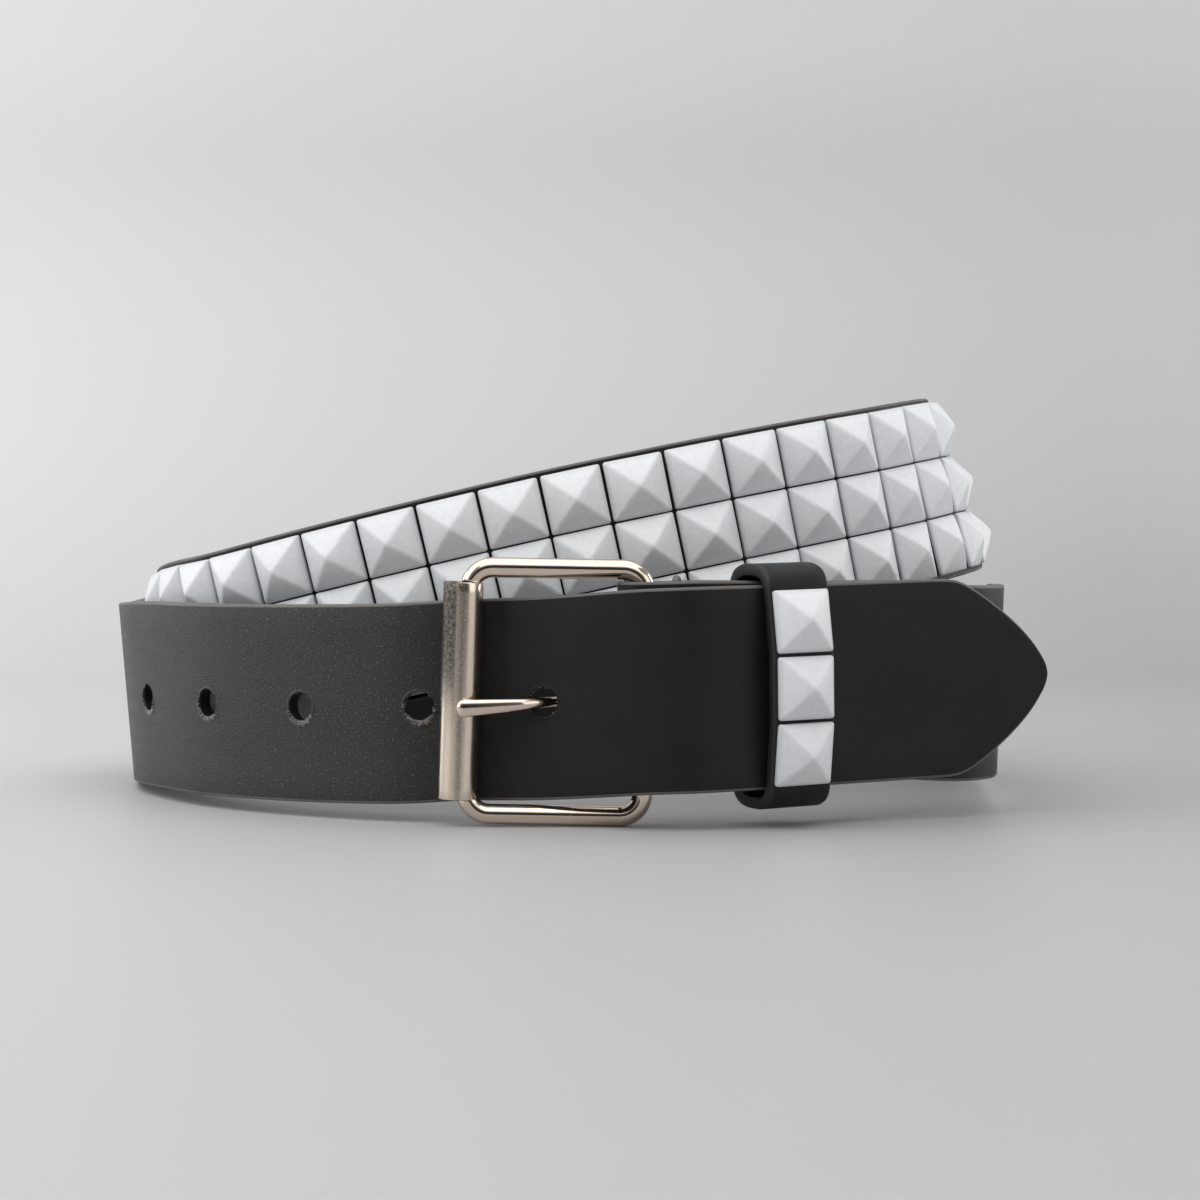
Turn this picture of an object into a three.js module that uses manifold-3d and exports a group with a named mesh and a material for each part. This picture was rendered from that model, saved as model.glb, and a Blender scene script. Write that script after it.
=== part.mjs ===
// Studded belt, fastened at its buckle and wound into a coil of two turns that stands on its lower edge.
// Millimetres, +Z up. X runs to the right along the front of the coil and Y away from the front.
// The finished group is moved so that the bottom centre of its box is the origin.

import * as THREE from "three";
import { mergeVertices } from "three/addons/utils/BufferGeometryUtils.js";
import Module from "manifold-3d";

// Strap
const strapWidth = 38;
const strapThickness = 2.8;
const layerGap = 0.4;
const foldLength = 49;
const tipReach = 77.8;
const pointLength = 18.5;
const pointRoundness = 0.6;
const pointFlat = 0.3;
const holeDiameter = 5.8;
const holePitch = 25;
const holeCount = 5;
const holeDrop = 0.7;

// Coil, measured along the middle of the strap
const coilWidth = 186;
const coilDepth = 164;
const heelAcross = 0.19;
const heelDeep = 0.006;

// Studs
const studRows = 3;
const studMargin = 1;
const studHeight = 4;
const studRim = 0.8;
const studCrown = 0.6;
const studGroove = 0.2;
const studGap = 0.3;
const plainBeforeStuds = 138;
const plainAfterStuds = 52;

// Buckle
const wireDiameter = 3.8;
const barNeck = 2.2;
const frameSlack = 4.3;
const frameLean = 1;
const frameCorner = 4.3;
const buckleReach = 33;
const rollerDiameter = 7.5;
const rollerWall = 0.6;
const rollerEndGap = 0.85;
const rollerHang = 1.4;
const rollerLean = 0.8;
const barGap = 0.4;
const neckStart = 0.6;
const prongWidth = 3.4;
const prongNeck = 1.9;
const prongThickness = 2;
const prongSlotGap = 0.6;
const prongSlope = 35;
const prongBlunt = 0.6;
const eyeWall = 1.4;

// Keeper
const keeperWidth = 13;
const keeperWall = 2.3;
const keeperGap = 0.6;
const keeperHeadroom = 1.6;
const keeperBow = 8;
const keeperCorner = 2;
const keeperPlace = 28.5;

// Fineness of the faceted shapes: sides round a circle, and the spacing of the strap's sections
const holeSides = 16;
const wireSides = 10;
const rollerSides = 20;
const prongSides = 8;
const wrapSides = 24;
const wrapSpacing = 1.5;
const lapSpacing = 4;
const plainSpacing = 5;
const prongSteps = 28;
const cornerSteps = 5;
const spanSamples = 24;

// Sizes that follow from the ones above
const halfWidth = strapWidth / 2;
const layerPitch = strapThickness + layerGap;
const studPitch = (strapWidth - 2 * studMargin) / studRows;
const studBase = studPitch - studGroove;
const wireRadius = wireDiameter / 2;
const rollerRadius = rollerDiameter / 2;
const wrapRadius = wireRadius + barGap + strapThickness / 2;
const frameInside = strapWidth + frameSlack;
const heelX = heelAcross * coilWidth / 2;
const heelY = wrapRadius + layerPitch + heelDeep * coilDepth;
const rollerReach = buckleReach + rollerHang;
const rollerX = heelX - rollerReach;
const lapFrontY = heelY - wrapRadius - layerPitch;
const lapBehindRollerY = heelY + rollerRadius + layerGap + strapThickness / 2;

const wasm = await Module();
wasm.setup();

// Solids

function fromTriangles(points, triangles) {
  const geometry = new THREE.BufferGeometry();
  const flat = points.flatMap((point) => [point.x, point.y, point.z]);
  geometry.setAttribute("position", new THREE.Float32BufferAttribute(flat, 3));
  geometry.setIndex(triangles.flat());
  return geometry;
}

function toManifold(geometry) {
  const bare = geometry.clone();
  bare.deleteAttribute("normal");
  bare.deleteAttribute("uv");
  const merged = mergeVertices(bare, 1e-5);
  const vertProperties = new Float32Array(merged.attributes.position.array);
  const triVerts = new Uint32Array(merged.index.array);
  return new wasm.Manifold(new wasm.Mesh({ numProp: 3, vertProperties, triVerts }));
}

function fromManifold(solid) {
  const mesh = solid.getMesh();
  const geometry = new THREE.BufferGeometry();
  geometry.setAttribute("position", new THREE.BufferAttribute(new Float32Array(mesh.vertProperties), 3));
  geometry.setIndex(new THREE.BufferAttribute(new Uint32Array(mesh.triVerts), 1));
  return geometry;
}

function join(geometries) {
  return fromManifold(geometries.map(toManifold).reduce((whole, next) => whole.add(next)));
}

function cut(geometry, tools) {
  return fromManifold(tools.map(toManifold).reduce((whole, tool) => whole.subtract(tool), toManifold(geometry)));
}

// A solid through a row of sections with the same number of corners, closed by flat ends or joined in a ring.
function loft(sections, ring = false) {
  const corners = sections[0].length;
  const triangles = [];
  const spans = ring ? sections.length : sections.length - 1;
  for (let i = 0; i < spans; i += 1) {
    const here = i * corners;
    const next = ((i + 1) % sections.length) * corners;
    for (let j = 0; j < corners; j += 1) {
      const k = (j + 1) % corners;
      triangles.push([here + j, here + k, next + k], [here + j, next + k, next + j]);
    }
  }
  if (!ring) {
    const last = (sections.length - 1) * corners;
    for (let j = 1; j < corners - 1; j += 1) {
      triangles.push([0, j + 1, j], [last, last + j, last + j + 1]);
    }
  }
  return fromTriangles(sections.flat(), triangles);
}

function node(name, geometry, color, roughness, metalness) {
  const flatShaded = geometry.index ? geometry.toNonIndexed() : geometry;
  flatShaded.computeVertexNormals();
  const mesh = new THREE.Mesh(flatShaded, new THREE.MeshStandardMaterial({ color, roughness, metalness }));
  mesh.name = name;
  return mesh;
}

const leather = ["#1b1b1d", 0.55, 0];
const paint = ["#e9edf2", 0.45, 0];
const nickel = ["#b9b4ad", 0.3, 1];

// Route of the strap
//
// A row is one place on the middle of the strap. across is a share of half the coil's width, deep a share of
// its depth, lift the height of the lower edge as a share of the strap's width, and tilt the lean to the left
// in degrees.

const row = (across, deep, lift, tilt) => ({ across, deep, lift, tilt });

const firstTurn = [
  row(0.843, 0.162, 0.174, -1),
  row(0.924, 0.22, 0.163, -2),
  row(0.953, 0.299, 0.157, -2.3),
  row(0.97, 0.396, 0.145, -2.3),
  row(0.981, 0.506, 0.11, -2),
  row(0.972, 0.628, 0.065, -1),
  row(0.918, 0.744, 0.026, 0),
  row(0.768, 0.845, 0.005, 0),
  row(0.553, 0.905, 0, 0),
  row(0.273, 0.936, 0, 0),
  row(-0.028, 0.938, 0, 0),
  row(-0.329, 0.915, 0, 0),
  row(-0.587, 0.854, 0.016, 1),
  row(-0.772, 0.757, 0.063, 3),
  row(-0.86, 0.64, 0.137, 6),
  row(-0.87, 0.515, 0.216, 9),
  row(-0.804, 0.399, 0.289, 12),
];

const studdedFront = [
  row(-0.692, 0.302, 0.353, 13.5),
  row(-0.48, 0.216, 0.486, 13.3),
  row(-0.24, 0.172, 0.63, 13),
  row(0.016, 0.165, 0.776, 12.5),
  row(0.27, 0.183, 0.906, 12),
  row(0.505, 0.238, 1.018, 11.5),
  row(0.709, 0.323, 1.11, 12),
];

const secondTurn = [
  row(0.862, 0.44, 1.185, 15),
  row(0.91, 0.555, 1.205, 19),
  row(0.91, 0.665, 1.195, 18),
  row(0.87, 0.774, 1.165, 15),
  row(0.762, 0.878, 1.085, 13),
  row(0.56, 0.96, 0.93, 13),
  row(0.295, 0.998, 0.763, 13),
  row(0, 1, 0.589, 13.5),
  row(-0.297, 0.979, 0.411, 13.5),
  row(-0.576, 0.924, 0.242, 12.5),
  row(-0.808, 0.837, 0.116, 10),
  row(-0.942, 0.72, 0.042, 7),
  row(-0.98, 0.591, 0.016, 5.4),
  row(-0.957, 0.47, 0.037, 5),
  row(-0.886, 0.366, 0.058, 4.5),
  row(-0.732, 0.244, 0.066, 3.5),
  row(-0.519, 0.149, 0.076, 2),
  row(-0.308, 0.0915, 0.092, 0.5),
];

// The strap behind the roller, through the frame, over the heel bar and out to its point. reach is a share of
// the distance from the heel bar to the roller on the left and to the tip on the right, and back a share of
// the same distance, away from the front.
const behindRoller = { reach: 1, lift: 0.112, tilt: 0 };
const atProng = { reach: 0.536, lift: 0.132, tilt: 0 };
const overHeel = { reach: 0, lift: 0.174, tilt: 0 };
const lapRight = [
  { reach: 0.11, back: -0.013, lift: 0.184 },
  { reach: 0.225, back: 0.022, lift: 0.189 },
  { reach: 0.325, back: 0.07, lift: 0.192 },
  { reach: 0.465, back: 0.14, lift: 0.197 },
  { reach: 0.655, back: 0.218, lift: 0.206 },
  { reach: 0.845, back: 0.284, lift: 0.216 },
  { reach: 1, back: 0.335, lift: 0.226 },
];

function station(x, y, lift, tilt) {
  const lean = THREE.MathUtils.degToRad(tilt);
  return { point: new THREE.Vector3(x, y, lift * strapWidth + halfWidth * Math.cos(lean)), lean };
}

function coilStation({ across, deep, lift, tilt }) {
  return station(across * coilWidth / 2, deep * coilDepth, lift, tilt);
}

function lapStations() {
  const slope = (lapFrontY - lapBehindRollerY) * (1 - atProng.reach);
  return [
    station(rollerX, lapBehindRollerY, behindRoller.lift, behindRoller.tilt),
    station(heelX - atProng.reach * rollerReach, lapBehindRollerY + slope, atProng.lift, atProng.tilt),
    station(heelX, lapFrontY, overHeel.lift, overHeel.tilt),
    ...lapRight.map((at) => station(heelX + at.reach * tipReach, lapFrontY + at.back * tipReach, at.lift, 0)),
  ];
}

// A smooth path through stations, with places on it measured as lengths along the strap.
class Route {
  constructor(stations) {
    this.stations = stations;
    this.curve = new THREE.CatmullRomCurve3(stations.map((each) => each.point));
    this.lengths = [0];
    let before = this.curve.getPoint(0);
    const samples = spanSamples * (stations.length - 1);
    for (let i = 1; i <= samples; i += 1) {
      const point = this.curve.getPoint(i / samples);
      this.lengths.push(this.lengths[i - 1] + point.distanceTo(before));
      before = point;
    }
  }

  get length() {
    return this.lengths[this.lengths.length - 1];
  }

  placeOfStation(index) {
    return this.lengths[index * spanSamples];
  }

  // Middle, direction, up and outward vectors of the strap at a place.
  at(place) {
    const spans = this.lengths.length - 1;
    let i = this.lengths.findIndex((length) => length >= place);
    i = i < 1 ? 1 : i;
    const share = (place - this.lengths[i - 1]) / (this.lengths[i] - this.lengths[i - 1]);
    const u = THREE.MathUtils.clamp((i - 1 + share) / spans, 0, 1);
    const along = u * (this.stations.length - 1);
    const index = Math.min(Math.floor(along), this.stations.length - 2);
    const ease = THREE.MathUtils.smoothstep(along - index, 0, 1);
    const lean = THREE.MathUtils.lerp(this.stations[index].lean, this.stations[index + 1].lean, ease);
    const middle = this.curve.getPoint(u);
    const direction = this.curve.getTangent(u);
    const up = new THREE.Vector3(-Math.sin(lean), 0, Math.cos(lean));
    up.addScaledVector(direction, -up.dot(direction)).normalize();
    const outward = new THREE.Vector3().crossVectors(direction, up).normalize();
    const lowest = halfWidth * up.z + strapThickness / 2 * Math.abs(outward.z);
    middle.z = Math.max(middle.z, lowest);
    return { middle, direction, up, outward };
  }
}

function inFrame({ middle, up, outward }, out, height) {
  return middle.clone().addScaledVector(outward, out).addScaledVector(up, height);
}

// The lap from the roller to the tip comes first, because the layers under it follow it.
const lap = new Route(lapStations());
const lapHeel = lap.placeOfStation(2);

function underLap(pastHeel, layers) {
  const frame = lap.at(lapHeel + pastHeel);
  return { point: inFrame(frame, -layers * layerPitch, 0), lean: 0 };
}

function aroundHeel(degrees) {
  const turn = THREE.MathUtils.degToRad(degrees);
  const point = lap.at(lapHeel).middle.clone();
  point.x = heelX + wrapRadius * Math.cos(turn);
  point.y = heelY + wrapRadius * Math.sin(turn);
  return { point, lean: 0 };
}

const foldStations = [1, 0.75, 0.5, 0.28].map((share) => underLap(share * foldLength, 2));
const wrapStations = [70, 115, 160, 205, 250, 275].map(aroundHeel);
const runStations = [0.25, 0.45, 0.65, 0.85, 1.05].map((share) => underLap(share * foldLength, 1));
const turnStations = [...firstTurn, ...studdedFront, ...secondTurn].map(coilStation);
const belt = new Route([...foldStations, ...wrapStations, ...runStations, ...turnStations, ...lapStations()]);

const wrapStart = belt.placeOfStation(foldStations.length);
const wrapEnd = belt.placeOfStation(foldStations.length + wrapStations.length);
const rollerStation = belt.stations.length - lap.stations.length;
const prongHolePlace = belt.placeOfStation(rollerStation + 1);
const lastHolePlace = prongHolePlace - (holeCount - 1) * holePitch;
const studStart = wrapEnd + plainBeforeStuds;
const studColumns = Math.floor((lastHolePlace - plainAfterStuds - studStart) / studPitch);
const studEnd = studStart + studColumns * studPitch;

// Evenly spaced places, the first included and the last left to the next stretch.
function places(from, to, step) {
  const count = Math.max(1, Math.round((to - from) / step));
  return Array.from({ length: count }, (unused, i) => from + (to - from) * i / count);
}

// Strap

function strapSection(place) {
  const frame = belt.at(place);
  const fromTip = belt.length - place;
  const narrowing = fromTip < pointLength ? (Math.max(fromTip, pointFlat) / pointLength) ** pointRoundness : 1;
  const half = halfWidth * narrowing;
  const deep = strapThickness / 2;
  return [
    inFrame(frame, -deep, -half),
    inFrame(frame, -deep, half),
    inFrame(frame, deep, half),
    inFrame(frame, deep, -half),
  ];
}

function punch(place) {
  const frame = belt.at(place);
  const tool = new THREE.CylinderGeometry(holeDiameter / 2, holeDiameter / 2, 3 * strapThickness, holeSides);
  const basis = new THREE.Matrix4().makeBasis(frame.direction, frame.outward, frame.up.clone().negate());
  return tool.applyMatrix4(basis.setPosition(inFrame(frame, 0, -holeDrop)));
}

function prongHeight() {
  return inFrame(belt.at(prongHolePlace), 0, -holeDrop).z;
}

// The slot in the fold that lets the prong's eye turn on the heel bar. It goes clean through the fold and stops
// short of the layer in front.
function prongSlot() {
  const tall = prongWidth + 2 * prongSlotGap;
  const pastFold = layerGap / 3;
  const radius = wrapRadius + strapThickness / 2 + pastFold;
  const round = new THREE.CylinderGeometry(radius, radius, tall, wrapSides).rotateX(Math.PI / 2);
  const straight = new THREE.BoxGeometry(2 * wrapRadius, 2 * radius, tall).translate(wrapRadius, 0, 0);
  return [round, straight].map((tool) => tool.translate(heelX, heelY, prongHeight()));
}

function makeStrap() {
  const rollerPlace = belt.placeOfStation(rollerStation);
  const pointShares = [1, 0.78, 0.58, 0.4, 0.25, 0.13, 0.05, 0];
  const stretches = [
    ...places(0, wrapStart, plainSpacing),
    ...places(wrapStart, wrapEnd, wrapSpacing),
    ...places(wrapEnd, studStart, plainSpacing),
    ...places(studStart, studEnd, studPitch / 2),
    ...places(studEnd, rollerPlace, plainSpacing),
    ...places(rollerPlace, belt.length - pointLength, lapSpacing),
    ...pointShares.map((share) => belt.length - share * pointLength),
  ];
  const holes = Array.from({ length: holeCount }, (unused, i) => punch(prongHolePlace - i * holePitch));
  return cut(loft(stretches.map(strapSection)), [...holes, ...prongSlot()]);
}

// Studs
//
// The whole field is one sheet of pyramids that meet at their low rims, on the outer face of the strap.
function makeStudField() {
  const points = [];
  const triangles = [];
  const put = (frame, out, height) => points.push(inFrame(frame, out, height)) - 1;
  const floorOut = strapThickness / 2 + studGap;
  const fieldHeight = studRows * studPitch;
  const rowHeight = (r) => r * studPitch - fieldHeight / 2;
  const halves = 2 * studColumns;
  const under = [];
  const rim = [];
  for (let j = 0; j <= halves; j += 1) {
    const frame = belt.at(studStart + j * studPitch / 2);
    under.push([put(frame, floorOut, rowHeight(0)), put(frame, floorOut, rowHeight(studRows))]);
    rim.push(Array.from({ length: studRows + 1 }, (unused, r) => put(frame, floorOut + studRim, rowHeight(r))));
  }
  for (let j = 0; j < halves; j += 1) {
    const [low, high] = under[j];
    const [nextLow, nextHigh] = under[j + 1];
    triangles.push([low, high, nextLow], [high, nextHigh, nextLow]);
    triangles.push([low, nextLow, rim[j + 1][0]], [low, rim[j + 1][0], rim[j][0]]);
    triangles.push([high, rim[j][studRows], rim[j + 1][studRows]], [high, rim[j + 1][studRows], nextHigh]);
  }
  for (let c = 0; c < studColumns; c += 1) {
    const frame = belt.at(studStart + (c + 0.5) * studPitch);
    for (let r = 0; r < studRows; r += 1) {
      const apex = put(frame, floorOut + studHeight, rowHeight(r + 0.5));
      const around = [
        rim[2 * c][r],
        rim[2 * c + 1][r],
        rim[2 * c + 2][r],
        rim[2 * c + 2][r + 1],
        rim[2 * c + 1][r + 1],
        rim[2 * c][r + 1],
      ];
      around.forEach((corner, i) => triangles.push([apex, corner, around[(i + 1) % around.length]]));
    }
  }
  const endWall = (j) => [under[j][0], ...rim[j], under[j][1]];
  const start = endWall(0);
  const end = endWall(halves);
  for (let i = 1; i < start.length - 1; i += 1) {
    triangles.push([start[0], start[i], start[i + 1]]);
    triangles.push([end[0], end[i + 1], end[i]]);
  }
  return fromTriangles(points, triangles);
}

// One stud by itself, its base on the plane z = 0.
function makeStud() {
  const square = (side, z) => [[1, 1], [-1, 1], [-1, -1], [1, -1]].map(
    ([x, y]) => new THREE.Vector3(x * side / 2, y * side / 2, z),
  );
  return loft([square(studBase, 0), square(studBase, studRim), square(studCrown, studHeight)]);
}

// Buckle

function wireSection(middle, outwards, radius) {
  return Array.from({ length: wireSides }, (unused, i) => {
    const turn = i * 2 * Math.PI / wireSides;
    const point = middle.clone().addScaledVector(outwards, radius * Math.cos(turn));
    return point.setY(point.y + radius * Math.sin(turn));
  });
}

// The rounded frame of wire in the plane of its two bars. The heel bar is at x = 0 and the roller bar, which
// is necked where it carries the roller, at x = -buckleReach.
function makeFrame() {
  const tall = frameInside + wireDiameter;
  const bend = [0, 0.2, 0.4, 0.52, 0.63, 0.8, 1];
  const corners = [[-1, 1, 90], [-1, -1, 180], [1, -1, 270], [1, 1, 0]];
  const sections = corners.flatMap(([side, level, start]) => {
    const middleX = -buckleReach / 2 + side * (buckleReach / 2 - frameCorner);
    const middleZ = level * (tall / 2 - frameCorner);
    const towardsBar = side === level ? bend.map((share) => 1 - share).reverse() : bend;
    return towardsBar.map((share) => {
      const turn = THREE.MathUtils.degToRad(start + 90 * share);
      const outwards = new THREE.Vector3(Math.cos(turn), 0, Math.sin(turn));
      const middle = new THREE.Vector3(middleX, 0, middleZ).addScaledVector(outwards, frameCorner);
      const fromLevelBar = side === level ? 1 - share : share;
      const onRollerBar = side < 0 && fromLevelBar > neckStart;
      if (onRollerBar) {
        middle.setX(-buckleReach);
      }
      return wireSection(middle, outwards, onRollerBar ? barNeck / 2 : wireRadius);
    });
  });
  return loft(sections, true);
}

function tube(inner, outer, length) {
  const half = length / 2;
  const profile = [[inner, -half], [outer, -half], [outer, half], [inner, half], [inner, -half]];
  const ring = new THREE.LatheGeometry(profile.map(([x, y]) => new THREE.Vector2(x, y)), rollerSides);
  return ring.rotateX(Math.PI / 2);
}

// The prong runs from its eye on the heel bar, out through the hole and over the front of the roller. A row is a
// place on it: reach is a share of the distance from the heel bar to the roller, y its depth in the model, and
// tall its height as a share of the prong's full width.
function prongRows() {
  const hole = belt.at(prongHolePlace).middle;
  const holeReach = (heelX - hole.x) / rollerReach;
  const nearHole = 0.1;
  const climb = nearHole * rollerReach * Math.tan(THREE.MathUtils.degToRad(prongSlope));
  const restY = heelY - rollerRadius - layerGap - prongThickness / 2;
  const neck = prongNeck / prongWidth;
  return [
    { reach: 0.03, y: heelY, tall: neck },
    { reach: 0.25, y: (heelY + hole.y + climb) / 2, tall: neck },
    { reach: holeReach - nearHole, y: hole.y + climb, tall: neck },
    { reach: holeReach, y: hole.y, tall: neck },
    { reach: holeReach + nearHole, y: hole.y - climb, tall: 0.66 },
    { reach: 0.8, y: (hole.y - climb + restY) / 2 - prongThickness / 7, tall: 0.84 },
    { reach: 0.97, y: restY, tall: 1 },
    { reach: 1.015, y: restY, tall: 0.9 },
  ];
}

function makeProng() {
  const rows = prongRows();
  const path = new THREE.CatmullRomCurve3(
    rows.map(({ reach, y }) => new THREE.Vector3(heelX - reach * rollerReach, y, prongHeight())),
  );
  const sections = Array.from({ length: prongSteps + 1 }, (unused, i) => {
    const share = i / prongSteps;
    const along = share * (rows.length - 1);
    const index = Math.min(Math.floor(along), rows.length - 2);
    const tall = THREE.MathUtils.lerp(rows[index].tall, rows[index + 1].tall, along - index) * prongWidth / 2;
    const end = i === prongSteps ? prongBlunt : 1;
    const side = new THREE.Vector3(0, 0, 1).cross(path.getTangent(share)).normalize();
    return Array.from({ length: prongSides }, (blank, j) => {
      const turn = (j + 0.5) * 2 * Math.PI / prongSides;
      const point = path.getPoint(share);
      point.addScaledVector(side, end * Math.cos(turn) * prongThickness / 2);
      return point.setZ(point.z + end * tall * Math.sin(turn));
    });
  });
  const bore = wireRadius + barGap;
  const eye = tube(bore, bore + eyeWall, prongWidth).translate(heelX, heelY, prongHeight());
  const drill = new THREE.CylinderGeometry(bore, bore, 2 * prongWidth, rollerSides).rotateX(Math.PI / 2);
  return join([eye, cut(loft(sections), [drill.translate(heelX, heelY, prongHeight())])]);
}

// Keeper
//
// A leather loop round the tip, the strap under it and the fold. Its front is bowed in three flats, one for
// each stud.
const keeperDeep = 3 * strapThickness + 2 * layerGap + 2 * keeperGap;
const keeperTall = strapWidth + 2 * keeperHeadroom;

function keeperFlats() {
  const bow = THREE.MathUtils.degToRad(keeperBow);
  const middleOut = keeperDeep / 2 + studPitch * Math.sin(bow);
  const flat = (level) => ({
    lean: level * bow,
    out: middleOut - Math.abs(level) * studPitch / 2 * Math.sin(bow),
    height: level * studPitch / 2 * (1 + Math.cos(bow)),
  });
  return [flat(1), flat(0), flat(-1)];
}

function keeperOutline(grow) {
  const bow = THREE.MathUtils.degToRad(keeperBow);
  const corner = keeperCorner + grow;
  const front = keeperDeep / 2 + grow;
  const top = keeperTall / 2 + grow;
  const shoulder = studPitch * (0.5 + Math.cos(bow));
  const bulge = studPitch * Math.sin(bow);
  const outline = new THREE.Shape();
  outline.moveTo(-front + corner, top);
  outline.quadraticCurveTo(-front, top, -front, shoulder);
  outline.lineTo(-front, -shoulder);
  outline.quadraticCurveTo(-front, -top, -front + corner, -top);
  outline.lineTo(front - corner, -top);
  outline.quadraticCurveTo(front, -top, front, -shoulder);
  outline.lineTo(front + bulge, -studPitch / 2);
  outline.lineTo(front + bulge, studPitch / 2);
  outline.lineTo(front, shoulder);
  outline.quadraticCurveTo(front, top, front - corner, top);
  outline.closePath();
  return outline;
}

function makeKeeper() {
  const outline = keeperOutline(keeperWall);
  outline.holes.push(keeperOutline(0));
  const options = { depth: keeperWidth, bevelEnabled: false, curveSegments: cornerSteps };
  return new THREE.ExtrudeGeometry(outline, options).translate(0, 0, -keeperWidth / 2);
}

// Assembly

const group = new THREE.Group();

group.add(node("strap", makeStrap(), ...leather));
group.add(node("stud_field", makeStudField(), ...paint));

// The frame leans a little in its own plane and stands on its lower bar.
const frameGroup = new THREE.Group();
frameGroup.position.set(heelX, heelY, 0);
frameGroup.rotation.y = THREE.MathUtils.degToRad(frameLean);
frameGroup.add(node("buckle_frame", makeFrame(), ...nickel));
frameGroup.updateMatrixWorld(true);
frameGroup.position.z = -new THREE.Box3().setFromObject(frameGroup, true).min.z;

const roller = node(
  "buckle_roller",
  tube(rollerRadius - rollerWall, rollerRadius, frameInside - 2 * rollerEndGap),
  ...nickel,
);
roller.position.x = -rollerReach;
roller.rotation.y = THREE.MathUtils.degToRad(rollerLean);
frameGroup.add(roller);
group.add(frameGroup);

group.add(node("buckle_prong", makeProng(), ...nickel));

const keeperFrame = lap.at(lapHeel + keeperPlace);
const keeperGroup = new THREE.Group();
keeperGroup.position.copy(inFrame(keeperFrame, -layerPitch, 0));
keeperGroup.quaternion.setFromRotationMatrix(new THREE.Matrix4().makeBasis(
  keeperFrame.outward,
  keeperFrame.up,
  keeperFrame.direction.clone().negate(),
));
keeperGroup.add(node("keeper", makeKeeper(), ...leather));
keeperFlats().forEach(({ lean, out, height }, i) => {
  const stud = node(`keeper_stud_${i + 1}`, makeStud(), ...paint);
  stud.rotation.y = Math.PI / 2;
  const seat = new THREE.Group();
  const off = keeperWall + studGap;
  seat.position.set(out + off * Math.cos(lean), height + off * Math.sin(lean), 0);
  seat.rotation.z = lean;
  seat.add(stud);
  keeperGroup.add(seat);
});
group.add(keeperGroup);

group.updateMatrixWorld(true);
const box = new THREE.Box3().setFromObject(group, true);
group.position.set(-(box.min.x + box.max.x) / 2, -(box.min.y + box.max.y) / 2, -box.min.z);
group.updateMatrixWorld(true);

export default group;
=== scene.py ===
# %% [markdown]
# # A studded belt, fastened and coiled on its edge
# The belt is one long strap of black leather. It folds round the heel bar of a roller buckle, makes two
# turns, passes behind the roller, over the heel bar and under a leather keeper, and ends in a point. Three
# rows of white pyramid studs cover most of it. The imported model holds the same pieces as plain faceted
# solids, and this script dresses them: each piece is built again, finely, in the same place.

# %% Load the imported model
import math
import random
from collections import namedtuple

import bmesh
import bpy
import numpy as np
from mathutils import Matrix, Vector


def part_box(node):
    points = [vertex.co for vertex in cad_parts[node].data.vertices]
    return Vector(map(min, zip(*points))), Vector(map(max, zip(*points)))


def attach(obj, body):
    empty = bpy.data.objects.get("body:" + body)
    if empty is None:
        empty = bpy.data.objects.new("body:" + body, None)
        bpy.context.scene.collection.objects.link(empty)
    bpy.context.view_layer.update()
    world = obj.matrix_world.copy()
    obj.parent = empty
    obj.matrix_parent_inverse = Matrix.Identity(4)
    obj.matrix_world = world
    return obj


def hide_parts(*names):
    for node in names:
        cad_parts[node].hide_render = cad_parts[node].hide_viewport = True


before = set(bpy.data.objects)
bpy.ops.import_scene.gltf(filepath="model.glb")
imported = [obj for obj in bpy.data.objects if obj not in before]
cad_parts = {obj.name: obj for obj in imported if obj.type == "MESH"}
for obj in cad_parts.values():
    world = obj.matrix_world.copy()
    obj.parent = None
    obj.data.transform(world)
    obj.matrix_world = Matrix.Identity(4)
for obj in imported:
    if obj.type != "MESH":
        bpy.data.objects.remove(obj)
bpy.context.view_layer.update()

print("nodes in the packed model:", sorted(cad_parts))

# %% [markdown]
# ## Sizes
# All sizes are in millimetres, as a belt maker would give them, and become metres only when a mesh is
# made. They are the real belt's few driving dimensions. Everything else follows from them.

# %% Sizes of the strap, the coil, the studs, the buckle and the keeper
MM = 0.001
strap_width = 38.0
strap_thickness = 2.8
edge_round = 0.55
layer_gap = 0.4
fold_length = 49.0
tip_reach = 77.8
point_length = 18.5
point_roundness = 0.6
point_flat = 0.005
point_end = 1.5
point_shoulder = 0.7
sharp_angle = 50
hole_diameter = 5.8
hole_pitch = 25.0
hole_count = 5
hole_drop = 0.7
fold_rise = 1.2
run_shares = (0.25, 0.45, 0.65, 0.85, 1.05)

coil_width = 186.0
coil_depth = 164.0
heel_across = 0.19
heel_deep = 0.006

stud_rows = 3
stud_margin = 1.0
stud_height = 4.0
stud_rim = 0.75
stud_groove = 0.3
stud_seat = 0.12
plain_before_studs = 138.0
plain_after_studs = 52.0

wire_radius = 1.9
neck_radius = 1.1
neck_start = 0.78
neck_taper = 0.14
frame_slack = 4.3
frame_lean = math.radians(1)
frame_corner = 4.3
buckle_reach = 33.0
roller_radius = 3.75
roller_wall = 0.6
roller_end_gap = 0.85
roller_hang = 1.4
roller_lean = math.radians(0.8)
bar_gap = 0.4
prong_width = 3.4
prong_neck = 1.9
prong_thickness = 2.0
prong_slot_gap = 0.6
prong_slope = math.radians(35)
prong_droop = 0.9
eye_wall = 1.4

keeper_width = 13.0
keeper_wall = 2.3
keeper_gap = 0.6
keeper_headroom = 1.6
keeper_bow = math.radians(8)
keeper_corner_share = 0.88
keeper_place = 28.5
knot_past_heel = 7.5
knot_setback = 1.3
fullness = 0.85

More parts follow.
